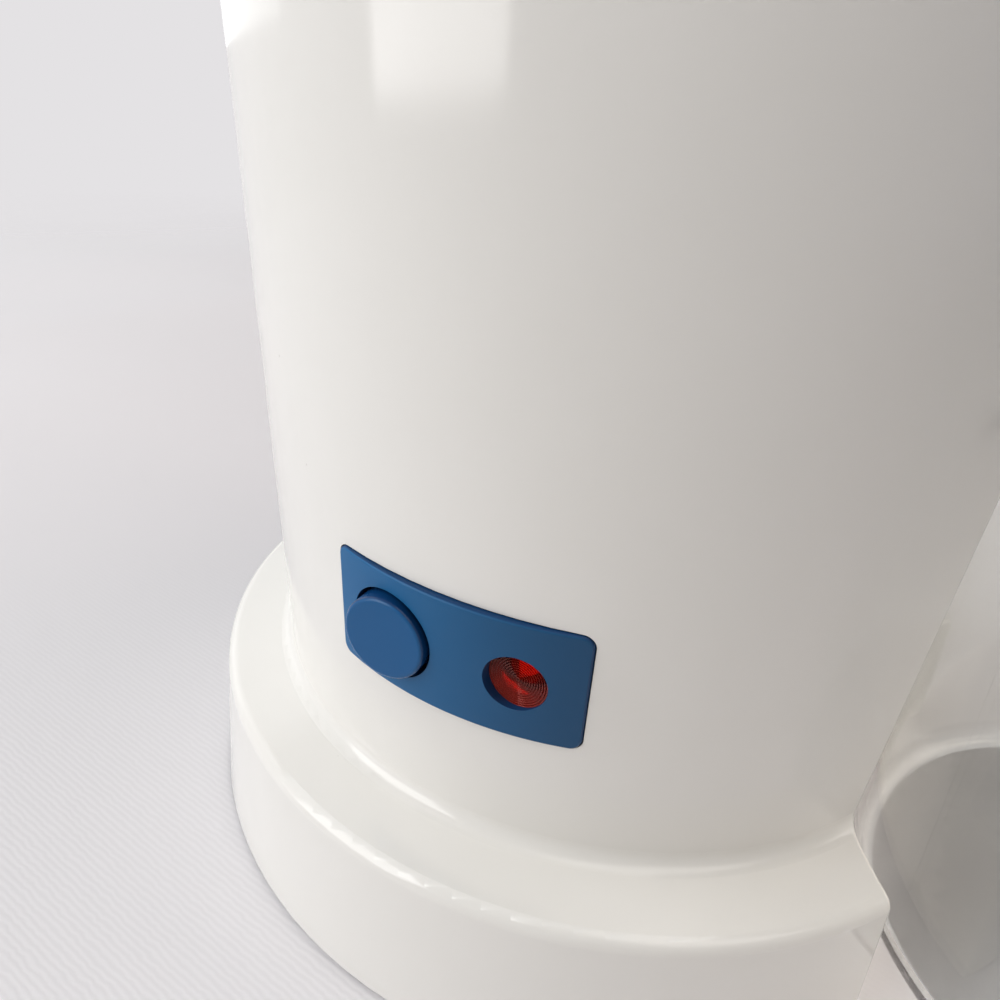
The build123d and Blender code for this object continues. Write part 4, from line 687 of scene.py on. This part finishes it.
glass_braid = woven(
    "glass_fibre_braid", "#E6E3D8", "#B8B3A4", 0.8, 0.15, 0.7, across=(1, 0, 1), along=(0, 1, 1)
)
wear("inner_leads", "fuse_sleeve", finish=glass_braid)

# %% [markdown]
# ## The cloth on the table
# The machine stands on a pale cloth with a fine rib. It is flat under the machine and rises
# in low, soft waves further out. A cloth simulation would only find the same slack, so the
# waves are added up in code on rings of points that widen outward.

# %% Cloth
CLOTH_REACH = 1.5
FLAT_REACH = 0.22
RINGS, SPOKES = 150, 240
WAVES = ((9.0, 0.4, 0.6), (14.0, 1.9, 2.0), (23.0, 2.7, 4.1))
WAVE_LIFT, WAVE_RAMP = 1.1 * MM, 0.25


def cloth_height(x, y):
    """Height of the cloth: waves with their number per metre, direction and start."""
    out = max(0.0, math.hypot(x, y) - FLAT_REACH)
    lift = sum(
        1 + math.sin(math.tau * count / 3 * (x * math.cos(way) + y * math.sin(way)) + begin)
        for count, way, begin in WAVES
    )
    return WAVE_LIFT * lift * min(1.0, out / WAVE_RAMP) ** 2


cloth_points = [(0.0, 0.0, 0.0)]
for ring in range(1, RINGS + 1):
    reach = CLOTH_REACH * (ring / RINGS) ** 1.5
    for spoke in range(SPOKES):
        angle = math.tau * spoke / SPOKES
        x, y = reach * math.cos(angle), reach * math.sin(angle)
        cloth_points.append((x, y, cloth_height(x, y)))
cloth_faces = [(0, 1 + s, 1 + (s + 1) % SPOKES) for s in range(SPOKES)]
for ring in range(RINGS - 1):
    inner, outer = 1 + ring * SPOKES, 1 + (ring + 1) * SPOKES
    for s in range(SPOKES):
        t = (s + 1) % SPOKES
        cloth_faces.append((inner + s, outer + s, outer + t, inner + t))
cloth_mesh = bpy.data.meshes.new("table_cloth")
cloth_mesh.from_pydata(cloth_points, [], cloth_faces)
cloth_mesh.shade_smooth()
table_cloth = bpy.data.objects.new("table_cloth", cloth_mesh)
bpy.context.scene.collection.objects.link(table_cloth)
print("cloth points:", len(cloth_points))

# %% [markdown]
# The cloth is cotton, white with a little lilac. Its ribs are 1.3 mm apart and run nearly
# along X. Cotton has no gloss, so its roughness is high. A wave texture draws the ribs: its
# own period is tau / 20 of a unit, which gives the scale. The ribs fade away from the
# machine's front, where they would be too fine to draw, and the whole cloth fades out
# further off, where the room's pale colour takes over.

# %% Cotton
RIB_PITCH, RIB_DEPTH, RIB_TURN = 1.3, 0.03, -0.107
RIB_MIDDLE = (-0.12, -0.13, 0)
RIBS_FULL, RIBS_GONE = 0.05, 0.19
CLOTH_WHOLE, CLOTH_GONE = 0.28, 0.95
cotton, cotton_tree, cotton_shader, cotton_place = start("ribbed_cotton", Roughness=0.95)
from_front = add(
    cotton_tree, "ShaderNodeVectorMath", {"operation": "DISTANCE"},
    {0: cotton_place, 1: RIB_MIDDLE},
)
near = add(
    cotton_tree, "ShaderNodeMapRange", {"interpolation_type": "SMOOTHSTEP"},
    {
        "Value": from_front.outputs["Value"],
        "From Min": RIBS_FULL, "From Max": RIBS_GONE, "To Min": 1.0, "To Max": 0.0,
    },
)
turned_place = add(
    cotton_tree, "ShaderNodeMapping", {}, {"Vector": cotton_place, "Rotation": (0, 0, -RIB_TURN)}
)
ribs = add(
    cotton_tree, "ShaderNodeTexWave", {"bands_direction": "Y"},
    {
        "Vector": turned_place.outputs[0], "Scale": math.tau / 20 * per_mm(RIB_PITCH),
        "Distortion": 3.0, "Detail": 4, "Detail Scale": 1.5,
    },
)
rib_part = add(
    cotton_tree, "ShaderNodeMath", {"operation": "MULTIPLY"},
    {0: ribs.outputs["Fac"], 1: near.outputs[0]},
)
rib_tint = add(
    cotton_tree, "ShaderNodeMix", {"data_type": "RGBA"},
    {0: rib_part.outputs[0], 6: linear("#E9E7EA"), 7: linear("#E4E2E5")},
)
rib_skin = add(
    cotton_tree, "ShaderNodeBump", {},
    {"Height": rib_part.outputs[0], "Distance": RIB_DEPTH * MM, "Strength": 1.0},
)
cotton_tree.links.new(rib_tint.outputs[2], cotton_shader.inputs["Base Color"])
cotton_tree.links.new(rib_skin.outputs[0], cotton_shader.inputs["Normal"])
far_out = add(cotton_tree, "ShaderNodeVectorMath", {"operation": "LENGTH"}, {0: cotton_place})
fade = add(
    cotton_tree, "ShaderNodeMapRange", {"interpolation_type": "SMOOTHSTEP"},
    {
        "Value": far_out.outputs["Value"],
        "From Min": CLOTH_WHOLE, "From Max": CLOTH_GONE, "To Min": 0.0, "To Max": 1.0,
    },
)
clear = add(cotton_tree, "ShaderNodeBsdfTransparent")
faded = add(
    cotton_tree, "ShaderNodeMixShader", {},
    {0: fade.outputs[0], 1: cotton_shader.outputs[0], 2: clear.outputs[0]},
)
cotton_tree.links.new(faded.outputs[0], cotton_tree.nodes["Material Output"].inputs["Surface"])
cloth_mesh.materials.append(cotton)
print("ribs every", RIB_PITCH, "mm")

# %% [markdown]
# ## Light
# The main light is a window in front and to the left. Five wide, soft lamps fill from the
# left, the left wall, behind on the right, overhead and the right. Lamps are area lights,
# because only they show a shape in gloss. Each is
# given by its heading and height as seen from the tower, its distance and size, and its
# brightness, where 1 is a white sheet. The power follows from brightness and area.

# %% Lamps
TOWER = Vector((-74.3, 0, 150)) * MM


def lamp(name, heading, elevation, distance, width, height, brightness, colour):
    """An area light aimed at the tower. Heading is from the front, -Y, towards the right, +X."""
    a, e = math.radians(heading), math.radians(elevation)
    way = Vector((math.sin(a) * math.cos(e), -math.cos(a) * math.cos(e), math.sin(e)))
    data = bpy.data.lights.new(name, "AREA")
    data.shape = "RECTANGLE"
    data.size, data.size_y = width, height
    data.energy = brightness * math.pi * width * height
    data.color = colour
    light = bpy.data.objects.new(name, data)
    bpy.context.scene.collection.objects.link(light)
    light.location = TOWER + way * distance
    light.rotation_euler = (-way).to_track_quat("-Z", "Y").to_euler()
    light.visible_camera = False
    print(name, "at", tuple(round(v, 2) for v in light.location), "W", round(data.energy, 2))
    return light


lamp("window", -35, 14, 1.1, 0.66, 0.8, 3.5, (1.0, 0.99, 0.975))
# this lamp only fills. It is hidden from gloss, where it would show as a second bright pane
lamp("side_window", -62, 34, 1.3, 0.7, 0.7, 4.6, (0.94, 0.97, 1.0)).visible_glossy = False
lamp("left_wall", -104, 22, 1.2, 1.1, 1.0, 1.0, (0.97, 0.99, 1.0))
lamp("right_wall", 125, 22, 1.2, 1.0, 1.0, 2.05, (1.0, 0.86, 0.78))
lamp("ceiling", 0, 89, 1.6, 2.2, 2.2, 0.2, (1.0, 0.99, 0.96))
lamp("ceiling_right", 75, 60, 1.3, 1.2, 1.2, 1.45, (1.0, 0.94, 0.87))

# %% [markdown]
# ## The room
# The room's own light is a soft grey from everywhere. What the eye, a mirror or a clear
# plastic sees of it is the same pale tone as the cloth far off. That is a choice by the kind
# of ray. The pale background shows in gloss, but it adds nothing to the soft light.

# %% Room
scene = bpy.context.scene
scene.view_settings.view_transform = "Standard"
room = bpy.data.worlds.new("room")
scene.world = room
room.use_nodes = True
room_tree = room.node_tree
rays = add(room_tree, "ShaderNodeLightPath")
seen = add(
    room_tree, "ShaderNodeMath", {"operation": "MAXIMUM"},
    {0: rays.outputs["Is Camera Ray"], 1: rays.outputs["Is Glossy Ray"]},
)
seen_too = add(
    room_tree, "ShaderNodeMath", {"operation": "MAXIMUM"},
    {0: seen.outputs[0], 1: rays.outputs["Is Transmission Ray"]},
)
pale = add(
    room_tree, "ShaderNodeMix", {"data_type": "RGBA"},
    {0: seen_too.outputs[0], 6: (0.02, 0.02, 0.02, 1), 7: linear("#E4E2E4")},
)
room_tree.links.new(pale.outputs[2], room_tree.nodes["Background"].inputs["Color"])
print("room light set")
